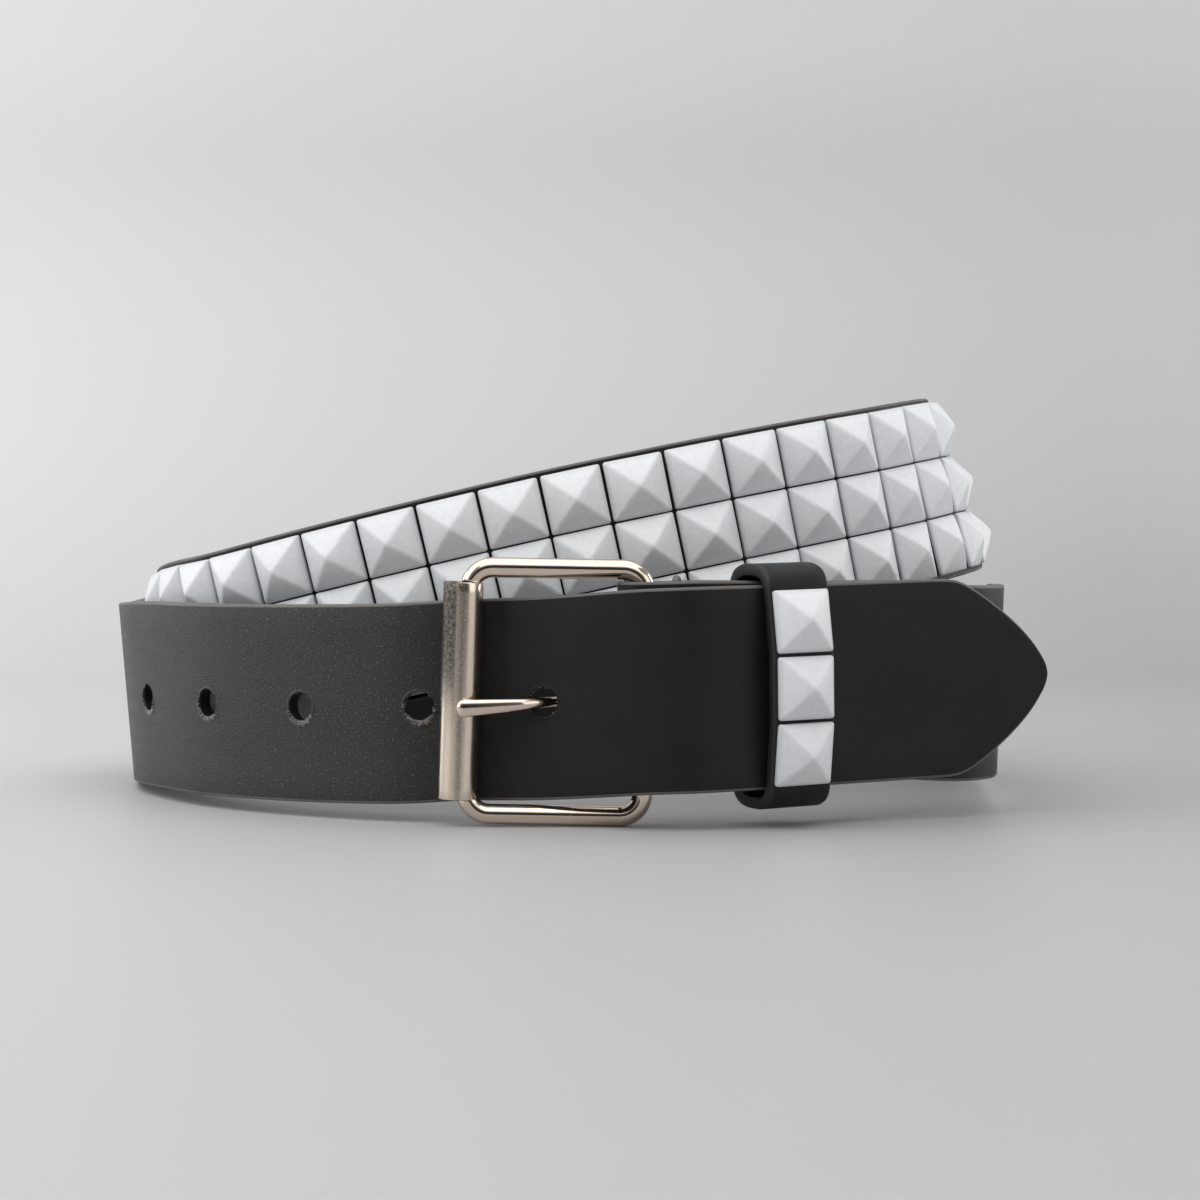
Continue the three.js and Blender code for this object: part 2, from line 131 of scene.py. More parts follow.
half_width = strap_width / 2
half_thickness = strap_thickness / 2
layer_pitch = strap_thickness + layer_gap
stud_pitch = (strap_width - 2 * stud_margin) / stud_rows
wrap_radius = wire_radius + bar_gap + half_thickness
frame_inside = strap_width + frame_slack
heel_x = heel_across * coil_width / 2
heel_y = wrap_radius + layer_pitch + heel_deep * coil_depth
roller_reach = buckle_reach + roller_hang
lap_front = heel_y - wrap_radius - layer_pitch
lap_behind_roller = heel_y + roller_radius + layer_gap + half_thickness
print("stud pitch", stud_pitch, "mm")

# %% [markdown]
# ## The strap's route
# A strap of leather bends round one way and hardly at all the other, so its whole shape is one line, its
# middle, and a lean at each place. The line could be drawn as a Bezier curve with a bevel, but a curve
# object twists as it likes. Here a table gives a row for each place on the way round, and a smooth curve
# through the rows gives the direction, the up and the outward vectors wherever a piece asks for them.
# Across is a share of half the coil's width, deep a share of its depth, lift the lower edge's height as a
# share of the strap's width, and tilt the lean in degrees.

# %% The rows of the two turns
Row = namedtuple("Row", "across deep lift tilt")
first_turn = [
    Row(0.843, 0.162, 0.174, -1), Row(0.924, 0.22, 0.163, -2), Row(0.953, 0.299, 0.157, -2.3),
    Row(0.97, 0.396, 0.145, -2.3), Row(0.981, 0.506, 0.11, -2), Row(0.972, 0.628, 0.065, -1),
    Row(0.918, 0.744, 0.026, 0), Row(0.768, 0.845, 0.005, 0), Row(0.553, 0.905, 0, 0),
    Row(0.273, 0.936, 0, 0), Row(-0.028, 0.938, 0, 0), Row(-0.329, 0.915, 0, 0),
    Row(-0.587, 0.854, 0.016, 1), Row(-0.772, 0.757, 0.063, 3), Row(-0.86, 0.64, 0.137, 6),
    Row(-0.87, 0.515, 0.216, 9), Row(-0.804, 0.399, 0.289, 12),
]
studded_front = [
    Row(-0.692, 0.302, 0.353, 13.5), Row(-0.48, 0.216, 0.486, 13.3), Row(-0.24, 0.172, 0.63, 13),
    Row(0.016, 0.165, 0.776, 12.5), Row(0.27, 0.183, 0.906, 12), Row(0.505, 0.238, 1.018, 11.5),
    Row(0.709, 0.323, 1.11, 12),
]
second_turn = [
    Row(0.862, 0.44, 1.185, 15), Row(0.91, 0.555, 1.205, 19), Row(0.91, 0.665, 1.195, 18),
    Row(0.87, 0.774, 1.165, 15), Row(0.762, 0.878, 1.085, 13), Row(0.56, 0.96, 0.93, 13),
    Row(0.295, 0.998, 0.763, 13), Row(0, 1, 0.589, 13.5), Row(-0.297, 0.979, 0.411, 13.5),
    Row(-0.576, 0.924, 0.242, 12.5), Row(-0.808, 0.837, 0.116, 10), Row(-0.942, 0.72, 0.042, 7),
    Row(-0.98, 0.591, 0.016, 5.4), Row(-0.957, 0.47, 0.037, 5), Row(-0.886, 0.366, 0.058, 4.5),
    Row(-0.732, 0.244, 0.066, 3.5), Row(-0.519, 0.149, 0.076, 2), Row(-0.308, 0.0915, 0.092, 0.5),
]

# %% The rows of the lap: behind the roller, at the prong, over the heel bar and out to the point
Lap = namedtuple("Lap", "reach back lift")
behind_roller = Lap(1, 0, 0.112)
at_prong = Lap(0.536, 0, 0.132)
over_heel = Lap(0, 0, 0.174)
lap_right = [
    Lap(0.11, -0.013, 0.184), Lap(0.225, 0.022, 0.189), Lap(0.325, 0.07, 0.192), Lap(0.465, 0.14, 0.197),
    Lap(0.655, 0.218, 0.206), Lap(0.845, 0.284, 0.216), Lap(1, 0.335, 0.226),
]


def station(x, y, lift, tilt=0.0):
    lean = math.radians(tilt)
    return [x, y, lift * strap_width + half_width * math.cos(lean), lean]


def coil_station(row):
    return station(row.across * coil_width / 2, row.deep * coil_depth, row.lift, row.tilt)


slope = (lap_front - lap_behind_roller) * (1 - at_prong.reach)
lap_stations = [
    station(heel_x - roller_reach, lap_behind_roller, behind_roller.lift),
    station(heel_x - at_prong.reach * roller_reach, lap_behind_roller + slope, at_prong.lift),
    station(heel_x, lap_front, over_heel.lift),
    *[station(heel_x + at.reach * tip_reach, lap_front + at.back * tip_reach, at.lift) for at in lap_right],
]

# %% The smooth curve through the rows
Frames = namedtuple("Frames", "middle direction up outward")
span_samples = 24


def curve_points(points, marks):
    """Points on the smooth curve at marks, where mark 2.5 is halfway between stations 2 and 3."""
    ghost = np.vstack([2 * points[0] - points[1], points, 2 * points[-1] - points[-2]])
    index = np.clip(np.floor(marks).astype(int), 0, len(points) - 2)
    w = (marks - index)[:, None]
    p0, p1, p2, p3 = (ghost[index + k] for k in range(4))
    d0, d1, d2 = (np.sqrt(np.linalg.norm(b - a, axis=1))[:, None] for a, b in ((p0, p1), (p1, p2), (p2, p3)))
    start = ((p1 - p0) / d0 - (p2 - p0) / (d0 + d1) + (p2 - p1) / d1) * d1
    end = ((p2 - p1) / d1 - (p3 - p1) / (d1 + d2) + (p3 - p2) / d2) * d1
    square = -3 * p1 + 3 * p2 - 2 * start - end
    cube = 2 * p1 - 2 * p2 + start + end
    return p1 + start * w + square * w**2 + cube * w**3


def unit(vectors):
    return vectors / np.linalg.norm(vectors, axis=-1, keepdims=True)


class Route:
    """A smooth path through stations. Places on it are lengths along the strap."""

    def __init__(self, stations):
        table = np.array(stations, float)
        self.points = table[:, :3]
        self.leans = table[:, 3]
        self.last = len(stations) - 1
        self.marks = np.linspace(0, self.last, span_samples * self.last + 1)
        steps = np.linalg.norm(np.diff(curve_points(self.points, self.marks), axis=0), axis=1)
        self.lengths = np.concatenate([[0.0], np.cumsum(steps)])
        self.length = self.lengths[-1]

    def place_of_station(self, index):
        return self.lengths[index * span_samples]

    def at(self, places):
        """The strap's middle, direction, up and outward vectors at places."""
        marks = np.interp(np.atleast_1d(places), self.lengths, self.marks)
        index = np.minimum(np.floor(marks).astype(int), self.last - 1)
        share = marks - index
        ease = share * share * (3 - 2 * share)
        lean = self.leans[index] * (1 - ease) + self.leans[index + 1] * ease
        middle = curve_points(self.points, marks)
        step = 1e-4 * self.last
        after = curve_points(self.points, np.clip(marks + step, 0, self.last))
        direction = unit(after - curve_points(self.points, np.clip(marks - step, 0, self.last)))
        up = np.column_stack([-np.sin(lean), np.zeros_like(lean), np.cos(lean)])
        up = unit(up - direction * np.sum(up * direction, axis=1, keepdims=True))
        outward = unit(np.cross(direction, up))
        lowest = half_width * up[:, 2] + half_thickness * np.abs(outward[:, 2])
        middle[:, 2] = np.maximum(middle[:, 2], lowest)
        return Frames(middle, direction, up, outward)

    def point(self, place, out=0.0, height=0.0):
        """One point beside the strap's middle."""
        at = self.at(place)
        return at.middle[0] + out * at.outward[0] + height * at.up[0]


# %% [markdown]
# The lap from the roller to the point is laid first, because the fold and the buckle end lie under it at
# one layer's pitch each. Then the whole belt is one route: fold, wrap round the heel bar, buckle end, two
# turns, lap.

# %% The lap and the whole belt
lap = Route(lap_stations)
lap_heel = lap.place_of_station(2)


def fold_lift(past_heel):
    """How far the folded end stands above the lap, which hangs a little on the prong."""
    return fold_rise * (0.5 + 0.5 * math.cos(math.pi * min(past_heel / fold_length, 1)))


def under_lap(past_heel, layers):
    x, y, z = lap.point(lap_heel + past_heel, out=-layers * layer_pitch)
    return [x, y, z + fold_lift(past_heel), 0.0]


def around_heel(degrees):
    turn = math.radians(degrees)
    x = heel_x + wrap_radius * math.cos(turn)
    y = heel_y + wrap_radius * math.sin(turn)
    return [x, y, lap.point(lap_heel)[2] + fold_rise, 0.0]


fold_stations = [under_lap(share * fold_length, 2) for share in (1, 0.75, 0.5, 0.28)]
wrap_stations = [around_heel(degrees) for degrees in (70, 115, 160, 205, 250, 275)]
run_stations = [under_lap(share * fold_length, 1) for share in run_shares]
turn_stations = [coil_station(row) for row in first_turn + studded_front + second_turn]
belt = Route(fold_stations + wrap_stations + run_stations + turn_stations + lap_stations)
wrap_start = belt.place_of_station(len(fold_stations))
wrap_end = belt.place_of_station(len(fold_stations) + len(wrap_stations))
roller_place = belt.place_of_station(belt.last + 1 - len(lap_stations))
prong_hole = belt.place_of_station(belt.last + 2 - len(lap_stations))
last_hole = prong_hole - (hole_count - 1) * hole_pitch
stud_start = wrap_end + plain_before_studs
stud_columns = int((last_hole - plain_after_studs - stud_start) / stud_pitch)
print("belt length", round(belt.length, 1), "mm,", stud_columns, "columns of studs")

# %% [markdown]
# ## From the route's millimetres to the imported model's metres
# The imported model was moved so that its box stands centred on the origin. The roller is the same from all
# sides, so the middle of its box, set against its place in the buckle, gives that move exactly.

# %% The move into the frame
roller_low, roller_high = (np.array(corner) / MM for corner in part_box("buckle_roller"))
roller_centre = (roller_low + roller_high) / 2
roller_x = heel_x - roller_reach * math.cos(frame_lean)
shift = np.array([roller_centre[0] - roller_x, roller_centre[1] - heel_y, 0.0])
print("move into the frame:", np.round(shift, 3), "mm")


def to_frame(points):
    """Route millimetres to frame metres."""
    return (np.asarray(points, float) + shift) * MM


# %% [markdown]
# ## Making meshes
# Every piece here is a skin stretched over rows of points, so one helper joins rows into quads and another
# turns points and faces into an object. The second one also stores a map called flow, in millimetres along
# and across the piece, so that leather grain and scratches run with the piece and not with the room.

# %% Helpers for meshes
def skin(rows, columns, ring=False, closed=True):
    """Quads over a grid. closed joins the last column to the first, and ring the last row to the first."""
    faces = []
    for i in range(rows if ring else rows - 1):
        here = i * columns
        there = ((i + 1) % rows) * columns
        for j in range(columns if closed else columns - 1):
            k = (j + 1) % columns
            faces.append((here + j, here + k, there + k, there + j))
    return faces


def caps(rows, columns):
    """The two flat ends of a closed skin."""
    last = (rows - 1) * columns
    return [tuple(reversed(range(columns))), tuple(range(last, last + columns))]


def make_piece(name, points, faces, flow=None, smooth_angle=40, in_frame=True):
    """A mesh object from millimetre points. flow is each point's place along and across, in millimetres."""
    mesh = bpy.data.meshes.new(name)
    where = to_frame(points) if in_frame else np.asarray(points, float) * MM
    mesh.from_pydata(where.tolist(), [], faces)
    if flow is not None:
        layer = mesh.uv_layers.new(name="flow")
        loops = np.zeros(len(mesh.loops), int)
        mesh.loops.foreach_get("vertex_index", loops)
        layer.data.foreach_set("uv", np.asarray(flow, float)[loops].ravel())
    mesh.polygons.foreach_set("use_smooth", [True] * len(mesh.polygons))
    mesh.set_sharp_from_angle(angle=math.radians(smooth_angle))
    mesh.validate()
    piece = bpy.data.objects.new(name, mesh)
    bpy.context.scene.collection.objects.link(piece)
    return piece


def dress(piece, slot, *materials, instead_of=()):
    """Gives a piece its materials and its body, and hides the solids that it stands for. The slot is not
    used.
    """
    for material in materials:
        piece.data.materials.append(material)
    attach(piece, "root")
    if instead_of:
        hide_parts(*instead_of)
    print(piece.name, len(piece.data.polygons), "faces")


# %% [markdown]
# ## Materials
# Each finish is a small node tree. A helper adds a node, sets its sockets and returns it, which keeps the
# trees short enough to read. Nothing here is an image: grain, pits and specks are noise at their real
# size.

# %% Helpers for node trees
def new_finish(name):
    material = bpy.data.materials.new(name)
    material.use_nodes = True
    return material, material.node_tree, material.node_tree.nodes["Principled BSDF"]


def add(tree, kind, sockets=None, **settings):
    made = tree.nodes.new(kind)
    for key, value in settings.items():
        setattr(made, key, value)
    for key, value in (sockets or {}).items():
        made.inputs[key].default_value = value
    return made


def noise(tree, coordinates, scale, detail=4.0, roughness=0.55, stretch=None):
    """Noise of about scale lumps a unit. stretch squeezes the coordinates first, for streaks."""
    texture = add(tree, "ShaderNodeTexNoise", {"Scale": scale, "Detail": detail, "Roughness": roughness})
    if stretch:
        mapping = add(tree, "ShaderNodeMapping", {"Scale": stretch})
        tree.links.new(coordinates, mapping.inputs["Vector"])
        coordinates = mapping.outputs["Vector"]
    tree.links.new(coordinates, texture.inputs["Vector"])
    return texture.outputs["Fac"]


def ramp(tree, value, low, high, low_color, high_color):
    """Turns a value from low to high into a colour between two."""
    made = add(tree, "ShaderNodeValToRGB")
    made.color_ramp.elements[0].position = low
    made.color_ramp.elements[1].position = high
    made.color_ramp.elements[0].color = (*low_color, 1)
    made.color_ramp.elements[1].color = (*high_color, 1)
    tree.links.new(value, made.inputs["Fac"])
    return made.outputs["Color"]


def spread(tree, value, from_low, from_high, to_low, to_high):
    """Maps a value from one range to another, clamped."""
    made = add(tree, "ShaderNodeMapRange", {
        "From Min": from_low, "From Max": from_high, "To Min": to_low, "To Max": to_high,
    })
    tree.links.new(value, made.inputs["Value"])
    return made.outputs["Result"]


def blend(tree, factor, first, second):
    """Mixes two colours. first and second may be sockets or plain colours."""
    made = add(tree, "ShaderNodeMix", data_type="RGBA")
    tree.links.new(factor, made.inputs["Factor"])
    for socket, value in zip((made.inputs[6], made.inputs[7]), (first, second)):
        if isinstance(value, tuple):
            socket.default_value = (*value, 1)
        else:
            tree.links.new(value, socket)
    return made.outputs[2]


def bump(tree, height, distance, under=None):
    """A bump of a real height in millimetres. under is a bump that this one lies on."""
    made = add(tree, "ShaderNodeBump", {"Strength": 1.0, "Distance": distance * MM})
    tree.links.new(height, made.inputs["Height"])
    if under is not None:
        tree.links.new(under, made.inputs["Normal"])
    return made.outputs["Normal"]


def flow_of(tree):
    return add(tree, "ShaderNodeUVMap", uv_map="flow").outputs["UV"]


# %% [markdown]
# ### Leather
# The strap is smooth black bridle leather with a pressed finish. Up close it isn't flat: it has a fine grain
# all over, faint streaks along the strap that change only its gloss, and pale specks where it is rubbed in
# use, from before the holes to the roller. That rubbed zone is also a little lighter all over, partly from
# wear and partly as painted sheen. The cut edge is paler, browner and rougher, and its paler colour is partly
# a painted highlight along the top edge. The keeper's folded edge is nearly as dark as the face. The back is
# dark and matt, painted near black because the walls of the punched holes share its finish as painted shade.
# The broken fibres at the holes are pale.

# %% Leather finishes
rub_begins = 75
rub_full = 15
rub_fades = 24
rub_ends = 8
rub_left = 0.04


def product(tree, first, second):
    made = add(tree, "ShaderNodeMath", operation="MULTIPLY")
    tree.links.new(first, made.inputs[0])
    tree.links.new(second, made.inputs[1])
    return made.outputs[0]


def rub_and_sheen_by(tree, flow):
    """One where the strap is rubbed in use, from before the holes to the roller, and near 0 elsewhere. It
    carries wear, and through the faint lightening of the zone, painted sheen.
    """
    parts = add(tree, "ShaderNodeSeparateXYZ")
    tree.links.new(flow, parts.inputs[0])
    starts = spread(tree, parts.outputs["X"], last_hole - rub_begins, last_hole - rub_full, 0, 1)
    stops = spread(tree, parts.outputs["X"], prong_hole - rub_fades, prong_hole - rub_ends, 1, rub_left)
    return product(tree, starts, stops)


def make_leather(name, color, wear_and_painted_light, roughness, grain, shine):
    material, tree, surface = new_finish(name)
    flow = flow_of(tree)
    rub_and_sheen = rub_and_sheen_by(tree, flow)
    cloud = noise(tree, flow, 0.08, detail=3)
    tone = ramp(tree, cloud, 0.35, 0.7, color, tuple(1.35 * part for part in color))
    speck = noise(tree, flow, 2.7, detail=3, roughness=0.7, stretch=(0.7, 1, 1))
    # The lowest share lightens the whole rubbed zone a little, partly wear and partly painted sheen; the pale
    # specks above it are wear.
    shown = product(tree, spread(tree, speck, 0.58, 0.72, 0.03, 0.8), rub_and_sheen)
    tree.links.new(blend(tree, shown, tone, wear_and_painted_light), surface.inputs["Base Color"])
    streak = noise(tree, flow, 0.5, detail=4, stretch=(0.15, 1.2, 1))
    gloss = spread(tree, streak, 0.3, 0.7, roughness - 0.03, roughness + 0.03)
    tree.links.new(gloss, surface.inputs["Roughness"])
    fine = noise(tree, flow, 3.2, detail=6, roughness=0.65)
    rough = bump(tree, fine, 0.05 * grain)
    rough = bump(tree, product(tree, speck, rub_and_sheen), 0.12 * grain, under=rough)
    tree.links.new(rough, surface.inputs["Normal"])
    tree.links.new(spread(tree, rub_and_sheen, 0, 1, shine, shine + 0.24), surface.inputs["Specular IOR Level"])
    return material


face_leather = make_leather("leather_face", (0.0082, 0.0082, 0.0084), (0.16, 0.16, 0.162), 0.46, 1.0, 0.2)
# The cut edge's paler colour is partly its own and partly a painted highlight along the top edge.
edge_leather_painted_highlight = make_leather("leather_edge_painted_highlight", (0.075, 0.069, 0.065), (0.16, 0.15, 0.14), 0.5, 1.4, 0.5)
folded_leather = make_leather("leather_folded", (0.012, 0.0115, 0.011), (0.05, 0.05, 0.05), 0.45, 1.2, 0.35)
# The back's near-black colour also serves as painted shade on the walls of the holes and the prong's slot.
back_leather_hole_shade = make_leather("leather_back_hole_shade", (0.010, 0.009, 0.0085), (0.03, 0.028, 0.026), 0.7, 2.0, 0.15)
frayed_leather = make_leather("leather_frayed", (0.30, 0.285, 0.285), (0.5, 0.48, 0.48), 0.85, 1.0, 0.3)

# %% [markdown]
# ### White paint on the studs
# The studs are pressed steel caps with a cool white enamel. The enamel is slightly uneven, and low down by
# the rims it turns grey, painted shade for the grooves between the studs. The rise of each point on its stud
# is stored on the mesh, so the painted shade can follow it.

# %% Stud finish
def make_paint():
    material, tree, surface = new_finish("stud_paint")
    where = add(tree, "ShaderNodeTexCoord").outputs["Object"]
    rise = add(tree, "ShaderNodeAttribute", attribute_name="rise").outputs["Fac"]
    # Grey low on each stud by its rim: painted shade for the grooves between the studs.
    painted_rim_shade = spread(tree, rise, 0.0, 0.3, 1.0, 0.0)
    mottled = noise(tree, where, 900, detail=3)
    clean = ramp(tree, mottled, 0.3, 0.7, (0.665, 0.68, 0.70), (0.715, 0.73, 0.75))
    tree.links.new(blend(tree, painted_rim_shade, clean, (0.42, 0.43, 0.45)), surface.inputs["Base Color"])
    tree.links.new(spread(tree, mottled, 0.3, 0.7, 0.36, 0.5), surface.inputs["Roughness"])
    orange_peel = noise(tree, where, 420, detail=2)
    tree.links.new(bump(tree, orange_peel, 0.12), surface.inputs["Normal"])
    return material


stud_paint = make_paint()

# %% [markdown]
# ### Nickel
# The buckle is nickel-plated steel: a warm, slightly yellow silver. Polished wire reflects its
# surroundings with little blur, while the roller, which the strap rubs against, has lost some of its
# polish and is pitted on one side. Metal has no colour of its own to see, so it is the lights that make it
# look real, and the material only has to be warm, clean and a little uneven.

# %% Nickel finishes
def make_nickel(name, color, roughness, scratch):
    material, tree, surface = new_finish(name)
    surface.inputs["Metallic"].default_value = 1.0
    flow = flow_of(tree)
    cloud = noise(tree, flow, 0.5, detail=4)
    clouded = ramp(tree, cloud, 0.35, 0.7, tuple(0.93 * part for part in color), color)
    tree.links.new(clouded, surface.inputs["Base Color"])
    tree.links.new(spread(tree, cloud, 0.3, 0.7, roughness, roughness + 0.07), surface.inputs["Roughness"])
    lines = noise(tree, flow, 3.0, detail=3, stretch=(1.5, 0.15, 1))
    tree.links.new(bump(tree, lines, scratch), surface.inputs["Normal"])
    return material


def make_worn_nickel_painted_band():
    material, tree, surface = new_finish("roller_nickel")
    surface.inputs["Metallic"].default_value = 1.0
    flow = flow_of(tree)
    # This mask carries wear on the upper left of the roller and a painted dark reflection in a stripe facing
    # the front.
    wear_and_painted_light = add(tree, "ShaderNodeAttribute", attribute_name="wear_and_painted_light").outputs["Fac"]
    patches = noise(tree, flow, 1.5, detail=6, roughness=0.75)
    dull = product(tree, spread(tree, patches, 0.34, 0.6, 0.7, 1), wear_and_painted_light)
    mixed = blend(tree, dull, (0.70, 0.61, 0.51), (0.035, 0.035, 0.036))
    tree.links.new(mixed, surface.inputs["Base Color"])
    tree.links.new(spread(tree, dull, 0, 1, 0.15, 0.45), surface.inputs["Roughness"])
    pits = add(tree, "ShaderNodeTexVoronoi", {"Scale": 1.9})
    tree.links.new(flow, pits.inputs["Vector"])
    pitted = product(tree, spread(tree, pits.outputs["Distance"], 0.12, 0.3, 0, 1), wear_and_painted_light)
    rough = bump(tree, pitted, 0.06)
    tree.links.new(bump(tree, patches, 0.02, under=rough), surface.inputs["Normal"])
    return material


polished_nickel = make_nickel("polished_nickel", (0.70, 0.60, 0.50), 0.07, 0.003)
worn_nickel_painted_band = make_worn_nickel_painted_band()

# %% [markdown]
# ## The strap
# The strap is a closed outline, 38 by 2.8 mm with rounded corners, carried along the route. Sections two
# millimetres apart keep the bends round. The holes are punched afterwards with a boolean, as a punch would
# do it.

# %% The outline of the strap
corner_signs = [(1, 1), (-1, 1), (-1, -1), (1, -1)]
corner_steps = 4
face_rows = 9


def strap_outline(half):
    """Points round the strap's section as (outward, height)."""
    radius = min(edge_round, half)
    flat = half - radius
    rows = np.linspace(-1, 1, face_rows)

    def corner_points(corner):
        out, high = corner_signs[corner]
        turns = [math.pi / 2 * (i / corner_steps + corner) for i in range(1, corner_steps)]
        return [
            (out * (half_thickness - radius) + radius * math.cos(turn), high * flat + radius * math.sin(turn))
            for turn in turns]

    outline = [(half_thickness, h * flat) for h in rows] + corner_points(0) + corner_points(1)
    outline += [(-half_thickness, h * flat) for h in rows[::-1]] + corner_points(2) + corner_points(3)
    return np.array(outline)


def half_width_at(place):
    """Half the strap's width, which narrows in a rounded point at the free end."""
    from_tip = max(belt.length - place, point_flat)
    if from_tip >= 1.5 * point_length:
        return half_width
    round_end = min(from_tip / point_end, 1) ** 0.5
    pointed = half_width * (max(from_tip, point_end) / point_length) ** point_roundness * round_end
    soft = point_shoulder
    return -soft * math.log(math.exp(-pointed / soft) + math.exp(-half_width / soft))


point_shares = np.linspace(1, 0, 28) ** 2
section_places = np.concatenate([
    np.arange(0, wrap_start, 2.0),
    np.arange(wrap_start, wrap_end, 0.8),
    np.arange(wrap_end, roller_place, 2.0),
    np.arange(roller_place, belt.length - point_length - 0.5, 1.5),
    belt.length - point_shares * point_length,
])

# %% The skin of the strap
def make_strap_skin():
    at = belt.at(section_places)
    points = []
    flow = []
    for i, place in enumerate(section_places):
        outline = strap_outline(half_width_at(place))
        out = outline[:, :1]
        high = outline[:, 1:]
        points.append(at.middle[i] + out * at.outward[i] + high * at.up[i])
        across = outline[:, 1] - 3 * np.sign(outline[:, 0])
        flow.append(np.column_stack([np.full(len(outline), place), across]))
    columns = len(points[0])
    rows = len(section_places)
    faces = skin(rows, columns) + caps(rows, columns)
    piece = make_piece("strap_leather", np.vstack(points), faces, np.vstack(flow), smooth_angle=sharp_angle)
    face_quads = face_rows - 1
    edge_quads = 2 * corner_steps - 1
    sides = [0] * face_quads + [1] * edge_quads + [2] * face_quads + [1] * edge_quads
    piece.data.polygons.foreach_set("material_index", sides * (rows - 1) + [1, 1])
    return piece


strap = make_strap_skin()
low, high = (np.round(np.array(strap.bound_box[corner]) / MM, 1).tolist() for corner in (0, 6))
print("strap box", low, high)

# %% [markdown]
# The punch is a round bar through each hole, and the slot for the prong's eye is cut in the fold the same
# way. The walls that the tools leave get the strap's back finish, whose near-black colour there is painted
# shade inside the holes.

# %% Punch the holes and cut the slot
def round_bar(middle, axis, radius, length, sides=32):
    """Points and faces of a closed round bar."""
    axis = unit(np.asarray(axis, float))
    side = unit(np.cross(axis, [0.0, 0.0, 1.0] if abs(axis[2]) < 0.9 else [1.0, 0.0, 0.0]))
    other = np.cross(axis, side)
    turns = np.linspace(0, 2 * math.pi, sides, endpoint=False)
    ring = radius * (np.cos(turns)[:, None] * side + np.sin(turns)[:, None] * other)
    points = np.vstack([middle - axis * length / 2 + ring, middle + axis * length / 2 + ring])
    return points, skin(2, sides) + caps(2, sides)


def box_block(low, high):
    """Points and faces of a plain block used only for cutting."""
    points = np.array([[x, y, z] for z in (low[2], high[2]) for x, y in (
        (low[0], low[1]), (high[0], low[1]), (high[0], high[1]), (low[0], high[1]))])
    return points, skin(2, 4) + caps(2, 4)


def close_slivers(piece, finish):
    """Closes any thin triangle that an exact cut leaves open, so that the skin stays whole."""
    work = bmesh.new()
    work.from_mesh(piece.data)
    lone = [edge for edge in work.edges if edge.is_boundary]
    closed = bmesh.ops.holes_fill(work, edges=lone, sides=3)["faces"]
    for face in closed:
        face.smooth = True
        face.material_index = piece.data.materials.find(finish.name)
    bmesh.ops.recalc_face_normals(work, faces=work.faces)
    work.to_mesh(piece.data)
    work.free()
    print("slivers closed after the cuts:", len(closed))


def cut_with(piece, tools, finish):
    for points, faces in tools:
        tool = make_piece("cutting_tool", points, faces, np.zeros((len(points), 2)))
        tool.data.materials.append(finish)
        bool_cut = piece.modifiers.new("cut", "BOOLEAN")
        bool_cut.object = tool
        bool_cut.operation = "DIFFERENCE"
        bool_cut.solver = "EXACT"
        bool_cut.material_mode = "TRANSFER"
        seen = piece.evaluated_get(bpy.context.evaluated_depsgraph_get())
        mesh = bpy.data.meshes.new_from_object(seen)
        piece.modifiers.clear()
        piece.data = mesh
        bpy.data.objects.remove(tool)
    close_slivers(piece, finish)
    piece.data.set_sharp_from_angle(angle=math.radians(sharp_angle))


hole_places = [prong_hole - i * hole_pitch for i in range(hole_count)]
hole_middles = [belt.point(place, height=-hole_drop) for place in hole_places]
hole_axes = [belt.at(place).outward[0] for place in hole_places]
prong_height = hole_middles[0][2]
slot_tall = prong_width + 2 * prong_slot_gap
slot_radius = wrap_radius + half_thickness + layer_gap / 3
heel = np.array([heel_x, heel_y, prong_height])
tools = [
    round_bar(middle, axis, hole_diameter / 2, 3 * strap_thickness)
    for middle, axis in zip(hole_middles, hole_axes)]
tools.append(round_bar(heel, (0, 0, 1), slot_radius, slot_tall))
tools.append(box_block(
    heel + [0, -slot_radius, -slot_tall / 2],
    heel + [2 * wrap_radius, slot_radius, slot_tall / 2],
))
for finish in (face_leather, edge_leather_painted_highlight, back_leather_hole_shade):
    strap.data.materials.append(finish)
# The cut walls take the back finish, near black as painted shade inside the holes.
cut_with(strap, tools, back_leather_hole_shade)
dress(strap, "black_leather", instead_of=["strap"])

# %% [markdown]
# ### Frayed hole rims
# A punched hole in a worn belt has a raised lip and a fringe of pale broken fibres, most of it below the
# hole, where the prong drags. The lip is a low uneven ring with both its borders sunk in the leather, and
# the fibres are short tapered slivers leaning off it. The hole that the prong fills shows only a few.

# %% Lips and fibres
fibres_a_hole = 150
fibres_at_prong = 26


